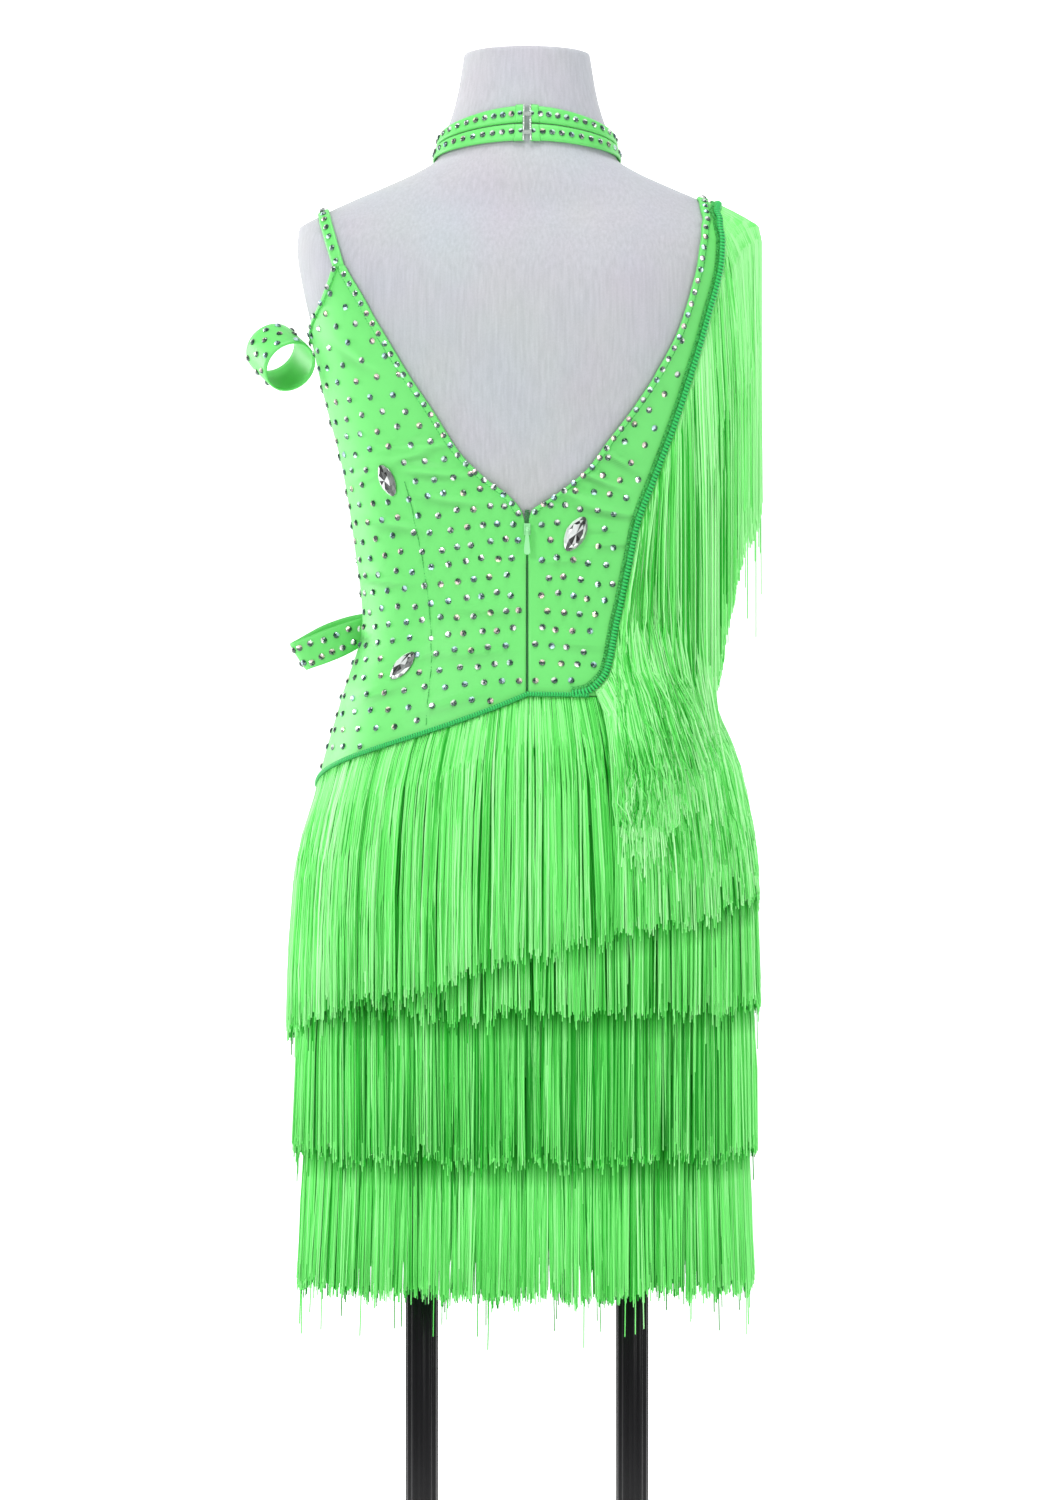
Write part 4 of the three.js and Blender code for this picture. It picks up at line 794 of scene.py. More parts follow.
angle, share = np.broadcast_arrays(np.linspace(0, 2 * math.pi, 100, endpoint=False)[None, :],
                                   np.linspace(-0.5, 0.5, 11)[:, None])
loop_piece("loop_band_upper", "side_loop_upper", ring_spot(angle, share, 0.7 - 0.35 * np.abs(2 * share) ** 6),
           True)
strip_t, share = np.broadcast_arrays(np.linspace(1, 0, 90)[None, :], np.linspace(0, 1, 11)[:, None])
strip_points, _ = folded_spot(strip_t, share, 0.7 - 0.35 * np.abs(2 * share - 1) ** 6)
loop_piece("loop_band_lower", "side_loop_lower", strip_points, False)

# The zip is a narrow nylon one, dyed to match, let into the centre back under a bright pull.
# The slider and its drop-shaped pull are its own hard pieces; the coil shows only above the slider.
ZIP = {"low": 972, "slider": 1096, "high": 1107, "pitch": 1.25}

nylon, nylon_shader, nylon_node, nylon_link = new_material("dyed_nylon", (0.03, 0.17, 0.05, 1), 0.45)
nylon_place = nylon_node("ShaderNodeTexCoord")
nylon_grain = nylon_node("ShaderNodeTexNoise", Vector=nylon_place.outputs["Object"], Scale=700.0, Detail=2.0)
nylon_bump = nylon_node("ShaderNodeBump", Strength=0.2, Distance=0.0003, Height=nylon_grain.outputs[0])
nylon_link(nylon_bump.outputs[0], nylon_shader.inputs["Normal"])


def tube_points(path, radius, sides):
    """A tube along a path of points: a ring of the radius round each, square to the path there."""
    path = np.asarray(path, float)
    tangent = np.gradient(path, axis=0)
    tangent /= np.linalg.norm(tangent, axis=1, keepdims=True)
    side = np.cross(tangent, np.array((0, 0, 1.0)))
    side /= np.maximum(np.linalg.norm(side, axis=1, keepdims=True), 1e-9)
    other = np.cross(tangent, side)
    angle = np.linspace(0, 2 * math.pi, sides, endpoint=False)
    radius = np.broadcast_to(np.asarray(radius, float), len(path))
    ring = radius[:, None, None] * (np.cos(angle)[None, :, None] * side[:, None]
                                    + np.sin(angle)[None, :, None] * other[:, None])
    body = path[:, None] + ring
    return np.concatenate([np.repeat(path[:1, None], sides, 1), body, np.repeat(path[-1:, None], sides, 1)])


def zip_coil_points():
    """The coil is a tight zigzag of thread up the middle of the zip."""
    height = np.arange(ZIP["low"], ZIP["high"] + 4, ZIP["pitch"] / 6)
    swing = np.sin((height - ZIP["low"]) * 2 * math.pi / ZIP["pitch"])
    open_part = np.clip((height - ZIP["slider"]) / 6, 0, 1)
    reach = 0.8 + 1.4 * open_part
    turn = swing * reach / figure_reach(0 * height, height)
    return tube_points(skin_point(turn, height, 1.0 + 0.5 * open_part) * MM, 0.00032, 5)


coil = grid_object("zip_coil", zip_coil_points(), closed=True)
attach(coil, "dress")
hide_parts("zip_teeth")
coil.data.materials.append(nylon)

ENAMEL_GREEN = (0.30, 0.74, 0.34, 1)
enamel, enamel_shader, enamel_node, enamel_link = new_material("painted_zip_metal", ENAMEL_GREEN, 0.28)
enamel_place = enamel_node("ShaderNodeTexCoord")
enamel_peel = enamel_node("ShaderNodeTexNoise", Vector=enamel_place.outputs["Object"], Scale=500.0)
enamel_bump = enamel_node("ShaderNodeBump", Strength=0.1, Distance=0.0002, Height=enamel_peel.outputs[0])
enamel_link(enamel_bump.outputs[0], enamel_shader.inputs["Normal"])
enamel_shader.inputs["Coat Weight"].default_value = 0.5
for zip_name in ("zip_slider", "zip_pull"):
    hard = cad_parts[zip_name]
    hard.data.materials.clear()
    hard.data.materials.append(enamel)

# Fringe is silky twisted thread, sewn by the hundred into a narrow header and left to hang.
# The top tier's header slants across the back, and the three below it lie level round the skirt.
TIERS = [
    # name, distance off the figure at the root and at the hem, root height, hem height, strands,
    # the hem that lies over it and casts its painted shadow on this tier, and the lightest tone
    ("top", (7.5, 15.0), None, None, 4200, None, 1.0),
    ("second", (5.6, 12.6), 872, 731, 3000, "top", 0.9),
    ("third", (4.4, 13.0), 785, 620, 4100, 731, 0.86),
    ("lowest", (3.4, 10.2), 682, 517, 5300, 620, 0.88),
]
TOP_HEM = {"back": 775, "left": 708, "front": 730, "right": 822}
TOP_FALL = (880, 715)
STRAND_RADIUS = 0.64
LOCK_WIDTH = 3.4
LOCK_DRAW = 0.32
LOOSE_SHARE = 0.38
FINE_STEPS = 48
HIP_GIRTH = 1040
NOTHING_OVER = 9000.0
LONG_STEPS = (0, 0.07, 0.18, 0.38, 0.68, 1)
SHORT_STEPS = (0, 0.14, 0.5, 1)


def flare(height, start, end, near, far):
    """A distance that grows softly from near, at the start height, to far, at the end height."""
    s = np.clip((start - height) / (start - end), 0, 1)
    return near + (far - near) * s * s * (3 - 2 * s)


def uneven_locks(place, width_count, rng):
    """The lock that each strand belongs to: the places from 0 to 1 are cut at random into that many locks."""
    cuts = np.sort(rng.uniform(0, 1, width_count - 1))
    even = (np.arange(width_count - 1) + 1) / width_count
    return np.searchsorted(cuts * 0.65 + even * 0.35, place)


def hanging_paths(turn, fall_turn, root, length, layer, lean, rng, locks, steps, swing_over=0.35, tangle=0.0,
                  lying=12.0):
    """Each strand follows the figure down while that widens, and hangs straight once it narrows.
    Its distance out is the running maximum, from the root down, of the figure's reach plus its layer.
    The strands of one lock draw part way together and sway as one; tangle curls the ends, in millimetres,
    and over the first lying millimetres of its drop a strand rests on the figure's slope."""
    number = locks.max() + 1
    middle = np.bincount(locks, fall_turn, number) / np.maximum(np.bincount(locks, minlength=number), 1)
    sway = rng.normal(0, 1, (number, 2))[locks]
    own = rng.normal(0, 1, (len(turn), 2))
    t = np.linspace(0, 1, FINE_STEPS)[None, :]
    height = root[:, None] - length[:, None] * t
    swing = np.clip(t / swing_over, 0, 1)
    goal = fall_turn + (middle[locks] - fall_turn) * LOCK_DRAW
    turns = turn[:, None] + (goal - turn)[:, None] * swing ** 2 * (3 - 2 * swing)
    drop = root[:, None] - height
    out = layer(height)
    ease = np.clip(drop / lean, 0, 1)
    out = 2.6 + (out - 2.6) * ease ** 2 * (3 - 2 * ease)
    reach = np.maximum.accumulate(figure_reach(turns, height) + out, axis=1)
    side = 1.2 * sway[:, :1] * t + 0.8 * own[:, :1] * t + 0.8 * np.sin(5 * t + 6 * sway[:, 1:]) * t
    curl = np.asarray(tangle).reshape(-1, 1) * np.clip((t - 0.5) / 0.5, 0, 1) ** 1.3
    side = side + curl * np.sin((13 + 4 * own[:, :1]) * t + 5 * own[:, 1:])
    reach = reach + 0.45 * np.abs(curl) * (1 + np.cos((11 + 4 * own[:, 1:]) * t + 3 * own[:, :1]))
    height = height + 0.5 * np.abs(curl) * (1 + np.sin(15 * t + 4 * own[:, :1]))
    turns = turns + side / np.maximum(reach, 40)
    points = np.stack([reach * np.sin(turns), reach * np.cos(turns), height], axis=-1)
    near_root = np.clip(1 - drop[:, :7] / np.asarray(lying).reshape(-1, 1), 0, 1)[..., None]
    slope = skin_point(turns[:, :7], height[:, :7], 2.6)
    points[:, :7] = points[:, :7] * (1 - near_root) + slope * near_root
    points[:, 0] = skin_point(turn, root, 2.4)
    base = np.broadcast_to(np.array(steps, float), (len(turn), np.shape(steps)[-1])) * (FINE_STEPS - 1)
    gaps = np.diff(base, axis=1)
    room = np.pad(0.4 * np.minimum(gaps[:, 1:], gaps[:, :-1]), ((0, 0), (1, 1)))
    pick = np.round(base + np.where(base < 6, 0, room) * rng.uniform(-1, 1, base.shape)).astype(int)
    return np.take_along_axis(points, pick[..., None], axis=1), np.take_along_axis(turns, pick, axis=1)


def strand_object(name, points, turns, radius, tones, over, rng, sides=3):
    """All the strands of a header as one mesh: a thin tapering prism along each path, closed at both ends."""
    count, steps = points.shape[:2]
    tangent = np.gradient(points, axis=1)
    tangent /= np.linalg.norm(tangent, axis=-1, keepdims=True)
    side = np.stack([np.cos(turns), -np.sin(turns), 0 * turns], axis=-1)
    face = np.cross(tangent, side)
    angle = np.linspace(0, 2 * math.pi, sides, endpoint=False)[None, :] + rng.uniform(0, 6, (count, 1))
    taper = np.ones(steps)
    taper[-1] = 0.8
    size = radius[:, None, None] * taper[None, :, None]
    ring = (np.cos(angle)[:, None, :] * size)[..., None] * side[:, :, None]
    ring = ring + (np.sin(angle)[:, None, :] * size)[..., None] * face[:, :, None]
    vertices = (points[:, :, None] + ring) * MM
    index = np.arange(count * steps * sides).reshape(count, steps, sides)
    after = np.roll(index, -1, axis=2)
    quads = np.stack([index[:, :-1], index[:, 1:], after[:, 1:], after[:, :-1]], axis=-1).reshape(-1, 4)
    caps = np.concatenate([index[:, 0], index[:, -1, ::-1]])
    mesh = bpy.data.meshes.new(name)
    mesh.vertices.add(vertices.size // 3)
    mesh.vertices.foreach_set("co", vertices.reshape(-1).astype(np.float32))
    corners = np.concatenate([quads.reshape(-1), caps.reshape(-1)]).astype(np.int32)
    mesh.loops.add(len(corners))
    mesh.loops.foreach_set("vertex_index", corners)
    starts = np.concatenate([np.arange(len(quads)) * 4, len(quads) * 4 + np.arange(len(caps)) * sides])
    mesh.polygons.add(len(starts))
    mesh.polygons.foreach_set("loop_start", starts.astype(np.int32))
    mesh.polygons.foreach_set("use_smooth", np.ones(len(starts), bool))
    mesh.update(calc_edges=True)
    for attribute, values in (("tone", tones), ("over", over)):
        layer = mesh.attributes.new(attribute, "FLOAT", "POINT")
        layer.data.foreach_set("value", np.repeat(values, steps * sides).astype(np.float32))
    piece = bpy.data.objects.new(name, mesh)
    bpy.context.collection.objects.link(piece)
    return piece


thread, thread_shader, thread_node, thread_link = new_material("silky_thread", (0.2, 0.85, 0.2, 1), 0.4)
# Each strand's tone runs through this ramp from a near-black green to a light green. The dark end is painted
# shade: strands deep in the layer are painted dark for the shade between locks. The rest of the spread is
# random.
thread_tone_and_shade = thread_node("ShaderNodeAttribute", {"attribute_name": "tone"})
thread_shade_ramp = thread_node("ShaderNodeValToRGB", Fac=thread_tone_and_shade.outputs["Fac"])
thread_shade_ramp.color_ramp.elements[0].color = (0.0, 0.15, 0.006, 1)
thread_shade_ramp.color_ramp.elements[1].color = (0.46, 0.93, 0.43, 1)
for stop, colour in ((0.3, (0.015, 0.42, 0.022, 1)), (0.62, (0.165, 0.80, 0.16, 1))):
    element = thread_shade_ramp.color_ramp.elements.new(stop)
    element.color = colour
# Just below the hem of the tier that lies over it, the strand's colour is multiplied towards a dark green
# over 22 mm: a painted shadow of that hem.
thread_place = thread_node("ShaderNodeTexCoord")
thread_split = thread_node("ShaderNodeSeparateXYZ", Vector=thread_place.outputs["Object"])
thread_over = thread_node("ShaderNodeAttribute", {"attribute_name": "over"})
thread_below = thread_node("ShaderNodeMath", {"operation": "SUBTRACT"})
thread_link(thread_over.outputs["Fac"], thread_below.inputs[0])
thread_below.inputs[1].default_value = 0.022
thread_shade = thread_node("ShaderNodeMapRange", Value=thread_split.outputs["Z"])
thread_link(thread_over.outputs["Fac"], thread_shade.inputs["From Min"])
thread_link(thread_below.outputs[0], thread_shade.inputs["From Max"])
thread_painted_shadow = thread_node("ShaderNodeMix", {"data_type": "RGBA"}, Factor=thread_shade.outputs[0])
thread_painted_shadow.inputs["A"].default_value = (0.14, 0.50, 0.17, 1)
thread_painted_shadow.inputs["B"].default_value = (1, 1, 1, 1)
thread_mixed = thread_node("ShaderNodeMix", {"data_type": "RGBA", "blend_type": "MULTIPLY"}, Factor=1.0,
                           A=thread_shade_ramp.outputs["Color"], B=thread_painted_shadow.outputs["Result"])
thread_link(thread_mixed.outputs["Result"], thread_shader.inputs["Base Color"])
thread_shader.inputs["Sheen Weight"].default_value = 0.08
thread_shader.inputs["Specular IOR Level"].default_value = 0.16
thread_shader.inputs["Sheen Tint"].default_value = (0.5, 1, 0.5, 1)
# The thread also glows with its own shaded colour: painted light that brightens it and carries the painted
# shade along.
thread_link(thread_mixed.outputs["Result"], thread_shader.inputs["Emission Color"])
thread_shader.inputs["Emission Strength"].default_value = 0.12


def strand_tones_with_painted_shade(locks, loose, rng):
    """How light each strand is, and how far out it lies: loose ones lie deep and are painted dark, a painted
    shade between the locks; locks stand out, lighter the further out they stand, with a random spread.
    """
    standing = rng.uniform(0, 1, locks.max() + 1)[locks]
    tone = np.where(loose, 0.02 + 0.32 * rng.uniform(0, 1, len(locks)),
                    0.34 + 0.22 * standing + 0.46 * rng.uniform(0, 1, len(locks)))
    depth = np.where(loose, -2.0 + rng.normal(0, 0.5, len(locks)),
                     -0.7 + 1.8 * standing + rng.normal(0, 0.5, len(locks)))
    return tone, depth


for tier_number, (tier_name, layers, root, hem, count, over, lightest) in enumerate(TIERS):
    rng = np.random.default_rng(40 + tier_number)
    turn = rng.permutation(np.linspace(-math.pi, math.pi, count, endpoint=False))
    root_height = four_sides(turn, BODICE_EDGE) - 1.5 if root is None else np.full(count, float(root))
    lock_count = int(HIP_GIRTH / LOCK_WIDTH)
    locks = uneven_locks((turn + math.pi) / (2 * math.pi), lock_count, rng)
    loose = rng.uniform(0, 1, count) < LOOSE_SHARE
    tone, depth = strand_tones_with_painted_shade(locks, loose, rng)
    hem_height = four_sides(turn, TOP_HEM) if hem is None else np.full(count, float(hem))
    ragged = rng.normal(0, 3.4, count) + rng.normal(0, 2.4, lock_count)[locks]
    ragged = ragged + 2.5 * np.sin(turn * 9 + tier_number)
    stray = rng.uniform(0, 1, count)
    hem_height = hem_height + ragged - np.where(stray > 0.988, rng.uniform(8, 36, count), 0)
    hem_height = hem_height + np.where(stray < 0.22, rng.uniform(0, 20, count), 0)
    over_height = {None: NOTHING_OVER, "top": four_sides(turn, TOP_HEM)}.get(over, over)
    start, end = TOP_FALL if root is None else (root, hem)
    near, far = layers[0] + depth[:, None], layers[1] * (1 + 0.13 * np.sin(turn[:, None])) + depth[:, None]
    paths, path_turns = hanging_paths(turn, turn + rng.normal(0, 0.004, count), root_height,
                                      root_height - hem_height,
                                      lambda height: flare(height, start, end, near, far), 60.0, rng, locks,
                                      LONG_STEPS if root is None else SHORT_STEPS,
                                      tangle=2.2 * rng.uniform(0, 1, count) ** 3)
    radius = STRAND_RADIUS * rng.uniform(0.85, 1.15, count)
    fringe = strand_object("fringe_" + tier_name, paths, path_turns, radius, tone * lightest,
                           np.broadcast_to(over_height, count) * MM, rng)
    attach(fringe, "dress")
    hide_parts("fringe_tier_" + tier_name)
    fringe.data.materials.append(thread)

# The shoulder's fringe hangs from a header that climbs the back beside the neckline and crosses over.
# Its strands lie on the shoulder, fan out over its end and fall free past the arm's opening.
SHOULDER_HEADER = [
    # x, height, on the back, fall turn in degrees, length
    (-50.7, 976, True, -31, 112), (-59.9, 989, True, -35, 124), (-66.2, 1021.5, True, -39, 150),
    (-74.7, 1062, True, -43, 182), (-83.1, 1103, True, -48, 208), (-93.8, 1132, True, -53, 222),
    (-105.3, 1163, True, -57, 226), (-117.4, 1198, True, -62, 252), (-130.4, 1239.6, True, -67, 280),
    (-142, 1280.5, True, -72, 264), (-146.4, 1328, True, -80, 238), (-146, 1345, True, -86, 230),
    (-SIDE, 1351, True, -91, 228), (-146, 1346, False, -97, 222), (-147, 1328, False, -104, 216),
    (-150, 1300, False, -114, 288), (-154, 1272, False, -124, 318),
]
SHOULDER_STRANDS = 4100
SHOULDER_LOCKS = 170
SHOULDER_STEPS = (0, 0.05, 0.2, 0.4, 0.6, 0.8, 1)
STEPS_ON_TOP = (0, 0.0213, 0.0426, 0.0638, 0.1064, 0.5, 1)
HIP = {"above": 3.6, "below": 11.0, "from": 1010, "to": 955, "end": 13.5, "low": 800}


def header_spots(t):
    """The turn, height, fall turn and length at t along the shoulder's header."""
    rows = np.array(SHOULDER_HEADER, float)
    back = turn_at(rows[:, 0], rows[:, 1], "back")
    ahead = turn_at(rows[:, 0], rows[:, 1], "front")
    turns = np.where(rows[:, 2] > 0, back, ahead)
    return (through(turns, t), through(rows[:, 1], t), np.radians(through(rows[:, 3], t)),
            through(rows[:, 4], t))


def hip_layer(height):
    """The strands stand further off where the top tier lies under them."""
    rise = flare(height, HIP["to"], HIP["low"], 0, HIP["end"] - HIP["below"])
    over_hip = flare(height, HIP["from"], HIP["to"], 0, HIP["below"] - HIP["above"])
    return flare(height, 1320, 1200, 0.3, HIP["above"]) + over_hip + rise


rng = np.random.default_rng(77)
place = rng.permutation(np.linspace(0, 1, SHOULDER_STRANDS))
spot_turn, spot_height, fall_turn, long = header_spots(place)
locks = uneven_locks(place, SHOULDER_LOCKS, rng)
loose = rng.uniform(0, 1, SHOULDER_STRANDS) < LOOSE_SHARE
tone, depth = strand_tones_with_painted_shade(locks, loose, rng)
lock_long = rng.normal(0, 4.0, SHOULDER_LOCKS)[locks]
low_rows = np.clip((0.3 - place) / 0.3, 0, 1)
long = long * np.where(loose, 0.93, 1.02) + lock_long
long = long + rng.normal(0, 4.0, SHOULDER_STRANDS) * (1 + 2 * low_rows)
fall_turn = fall_turn + rng.normal(0, 0.05, SHOULDER_STRANDS) * low_rows
long = long + np.where(rng.uniform(0, 1, SHOULDER_STRANDS) > 0.993, rng.uniform(25, 90, SHOULDER_STRANDS), 0)
tangle = np.where(place < 0.4, 5.0, 1.2) * rng.uniform(0, 1, SHOULDER_STRANDS) ** 2
on_top = spot_height > 1322
fall_turn = fall_turn + rng.normal(0, 0.022, SHOULDER_STRANDS)
paths, path_turns = hanging_paths(spot_turn, fall_turn, spot_height - 1.0, long,
                                  lambda height: np.maximum(hip_layer(height) + 1.5 + depth[:, None], 2.2),
                                  22.0, rng, locks,
                                  np.where(on_top[:, None], STEPS_ON_TOP, SHOULDER_STEPS), 0.5, tangle,
                                  np.where(on_top, 26.0, 12.0))
shoulder_radius = STRAND_RADIUS * rng.uniform(0.85, 1.15, SHOULDER_STRANDS)
# Strands lying on the shoulder's top get only the light end of the painted shade, so they are painted
# lighter; the others carry its full range.
shoulder_tone_and_shade = np.where(on_top, 0.60 + 0.35 * tone, 0.13 + 0.95 * tone)
shoulder_fringe = strand_object("fringe_over_shoulder", paths, path_turns, shoulder_radius, shoulder_tone_and_shade,
                                np.full(SHOULDER_STRANDS, NOTHING_OVER * MM), rng)
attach(shoulder_fringe, "dress")
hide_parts("fringe_shoulder")
shoulder_fringe.data.materials.append(thread)

# Where the shoulder's lowest strands meet the top tier, their ends and its own are tangled and curled.
# They are the same thread, sewn in with the rest, and lie loosely over both layers.
CURLED = {"strands": 950, "steps": (0, 0.1, 0.25, 0.4, 0.52, 0.62, 0.7, 0.78, 0.86, 0.93, 1)}
SLANT_ENDS = 826

rng = np.random.default_rng(91)
count = CURLED["strands"]
place = rng.uniform(0.02, 0.42, count)
spot_turn, spot_height, fall_turn, long = header_spots(place)
from_slant = rng.uniform(0, 1, count) < 0.55
slant_place = rng.uniform(-88, -30, count)
spot_turn = np.where(from_slant, np.radians(slant_place), spot_turn)
spot_height = np.where(from_slant, four_sides(spot_turn, BODICE_EDGE) - 2, spot_height - 1)
fall_turn = np.where(from_slant, spot_turn - np.radians(3), fall_turn) + rng.normal(0, 0.05, count)
slant_long = (spot_height - SLANT_ENDS) * rng.uniform(0.62, 1.02, count)
long = np.where(from_slant, slant_long, long * rng.uniform(0.7, 1.04, count))
locks = uneven_locks(np.argsort(np.argsort(fall_turn)) / count, 150, rng)
paths, path_turns = hanging_paths(spot_turn, fall_turn, spot_height, long,
                                  lambda height: hip_layer(height) + np.where(from_slant, -4.0, 3.4)[:, None],
                                  40.0, rng, locks, CURLED["steps"], 0.5,
                                  np.where(from_slant, 2.4, 5.5) * rng.uniform(0.2, 1, count))
curled = strand_object("fringe_curled_ends", paths, path_turns, STRAND_RADIUS * rng.uniform(0.75, 1.0, count),
                       rng.uniform(0.3, 0.95, count), np.full(count, NOTHING_OVER * MM), rng)
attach(curled, "dress")
curled.data.materials.append(thread)

# Each header shows as a ribbed roll, its threads wound close over a cord, in a bluer and darker green, with
# painted shade in the grooves between the ribs.
# A looped chain edge lies beside it towards the neckline. Both are sewn over the strands' roots.
ROLLS = [
    # name, radius, distance between ribs, reach of the chain's loops
    ("shoulder", 3.0, 2.7, 3.0),
    ("slant", 2.1, 2.0, 1.6),
]
CHAIN = {"pitch": 2.4, "thread": 0.36}


def even_path(turn, height, out, step):
    """Points a given step apart along a line on the figure, with how far along each lies."""
    line = skin_point(turn, height, out)
    along = np.concatenate([[0], np.cumsum(np.linalg.norm(np.diff(line, axis=0), axis=1))])
    at = np.arange(0, along[-1], step)
    return at, np.interp(at, along, turn), np.interp(at, along, height)


def line_frame(turns, heights, out):
    """The points of a line on the figure, and its directions along, out and sideways there."""
    line = skin_point(turns, heights, out)
    normal = skin_normal(turns, heights)
    tangent = np.gradient(line, axis=0)
    tangent /= np.linalg.norm(tangent, axis=1, keepdims=True)
    return line, tangent, normal, np.cross(tangent, normal)


def weld_points(piece):
    """Makes one of the points that lie together, so that ends and poles are closed."""
    whole = bmesh.new()
    whole.from_mesh(piece.data)
    bmesh.ops.remove_doubles(whole, verts=whole.verts, dist=0.000001)
    whole.to_mesh(piece.data)
    whole.free()


def ribbed_roll(turn, height, out, radius, pitch):
    """A tube along a line whose radius dips between ribs; each rib bows forward at the roll's middle.
    Also gives how high each point stands on its rib, from 0 to 1."""
    at, turns, heights = even_path(turn, height, out, pitch / 4)
    line, _, normal, side = line_frame(turns, heights, out)
    a = np.linspace(0, 2 * math.pi, 8)[None, :-1]
    rib = np.abs(np.sin(math.pi * (at[:, None] + 0.8 * np.sin(a)) / pitch)) ** 0.7
    r = radius * (0.66 + 0.34 * rib)
    r[[0, -1]] = 0
    points = (line[:, None] + (r * np.cos(a))[..., None] * side[:, None]
              + (r * np.maximum(np.sin(a), -0.3) * 0.8)[..., None] * normal[:, None])
    return points, rib


def chain_edge(turn, height, out, reach):
    """A looped thread beside the roll: a row of small arches that lie away from it."""
    at, turns, heights = even_path(turn, height, out, CHAIN["pitch"] / 5)
    line, tangent, normal, side = line_frame(turns, heights, out)
    angle = at * 2 * math.pi / CHAIN["pitch"]
    away = reach * (0.5 - 0.5 * np.cos(angle))
    arches = line + away[:, None] * side + (0.7 * np.sin(2 * angle))[:, None] * tangent
    return tube_points((arches + (0.3 * np.sin(angle))[:, None] * normal) * MM, CHAIN["thread"] * MM, 4)


braid, braid_shader, braid_node, braid_link = new_material("wound_header_thread", (0.05, 0.48, 0.16, 1), 0.38)
# The ribs are light and the grooves between them dark: painted shade from how high each point stands on its
# rib.
braid_groove_shade = braid_node("ShaderNodeAttribute", {"attribute_name": "rib"})
braid_groove_ramp = braid_node("ShaderNodeValToRGB", Fac=braid_groove_shade.outputs["Fac"])
braid_groove_ramp.color_ramp.elements[0].position = 0.35
braid_groove_ramp.color_ramp.elements[1].position = 0.95
braid_groove_ramp.color_ramp.elements[0].color = (0.002, 0.13, 0.02, 1)
braid_groove_ramp.color_ramp.elements[1].color = (0.04, 0.60, 0.13, 1)
braid_link(braid_groove_ramp.outputs["Color"], braid_shader.inputs["Base Color"])
braid_shader.inputs["Sheen Weight"].default_value = 0.1
braid_shader.inputs["Specular IOR Level"].default_value = 0.2
dark_thread, dark_shader, dark_node, dark_link = new_material("dark_green_thread", (0.02, 0.42, 0.07, 1), 0.5)
dark_place = dark_node("ShaderNodeTexCoord")
dark_noise = dark_node("ShaderNodeTexNoise", Vector=dark_place.outputs["Object"], Scale=500.0, Detail=1.0)
dark_ramp = dark_node("ShaderNodeValToRGB", Fac=dark_noise.outputs[0])
dark_ramp.color_ramp.elements[0].position = 0.4
dark_ramp.color_ramp.elements[1].position = 0.6
dark_ramp.color_ramp.elements[0].color = (0.01, 0.30, 0.04, 1)
dark_ramp.color_ramp.elements[1].color = (0.08, 0.62, 0.14, 1)
dark_link(dark_ramp.outputs["Color"], dark_shader.inputs["Base Color"])

HEADER_POINTS = 400
HEADER_ON_BACK = 260
header_turn, header_height, _, _ = header_spots(np.linspace(0, 1, HEADER_POINTS))
start = float(turn_at(-46, 971))
slant_turn = np.linspace(start, start + 2 * math.pi - 0.24, 900)
slant_height = four_sides(slant_turn, BODICE_EDGE)
foot = np.array([(-33, 970.3), (-38, 970.6), (-43, 971.6), (-47, 973.2)])
foot_turn = turn_at(foot[:, 0], foot[:, 1])
header_lines = {
    "shoulder": (np.concatenate([foot_turn, header_turn]), np.concatenate([foot[:, 1], header_height])),
    "slant": (slant_turn, slant_height),
}
for roll_name, roll_radius, roll_pitch, chain_reach in ROLLS:
    line_turn, line_height = header_lines[roll_name]
    roll_points, rib = ribbed_roll(line_turn, line_height, 3.4, roll_radius, roll_pitch)
    roll = grid_object("header_roll_" + roll_name, roll_points[::-1] * MM, closed=True)
    rib_layer = roll.data.attributes.new("rib", "FLOAT", "POINT")
    rib_layer.data.foreach_set("value", rib[::-1].reshape(-1).astype(np.float32))
    chain_height = line_height + (0.6 if roll_name == "slant" else 0) * roll_radius
    arches = chain_edge(line_turn, chain_height, 3.0, -chain_reach - roll_radius)
    chain = grid_object("header_chain_" + roll_name, arches, closed=True)
    for piece, material in ((roll, braid), (chain, dark_thread)):
        weld_points(piece)
        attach(piece, "dress")
        piece.data.materials.append(material)

# The seams and the bindings are sewn with a darker thread, a little finer than the cloth's knit.
# It shows down the back dart and inside each binding.
STITCH = {"pitch": 2.3, "thread": 0.26, "rise": 0.3}


def stitch_points(turn, height, out):
    """A thread that rises and dips once a stitch along a line on the figure."""
    at, turns, heights = even_path(turn, height, out, STITCH["pitch"] / 4)
    rise = STITCH["rise"] * np.sin(at * 2 * math.pi / STITCH["pitch"])
    if out < CLOTH_FACE + 0.5:
        rise = rise + cloth_lift(turns, heights) + 0.7
    return tube_points(skin_point(turns, heights, out + rise) * MM, STITCH["thread"] * MM, 3)


dart_height = np.linspace(DART[0, 1], DART[-1, 1] - 8, 120)
dart_turn = turn_at(np.interp(dart_height, DART[::-1, 1], DART[::-1, 0]), dart_height)
stitch_lines = [(dart_turn, dart_height, CLOTH_FACE + 0.05)]
for _, _, table, face, first, last, width, outer in BINDINGS:
    near, near_height, far, far_height = panel_edges(table, face, np.linspace(first, last, 200))
    length = np.linalg.norm(ring_point(far, far_height) - ring_point(near, near_height), axis=-1)
    part = np.minimum(0.88 * width / np.maximum(length, 1), 0.42)
    part = 1 - part if outer else part
    stitch_lines.append((near + (far - near) * part, near_height + (far_height - near_height) * part,
                         CLOTH_FACE + 1.1))
stitching = join_pieces("stitching", [grid_object("stitch", stitch_points(*line), closed=True)
                                      for line in stitch_lines], 0.000001)
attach(stitching, "dress")
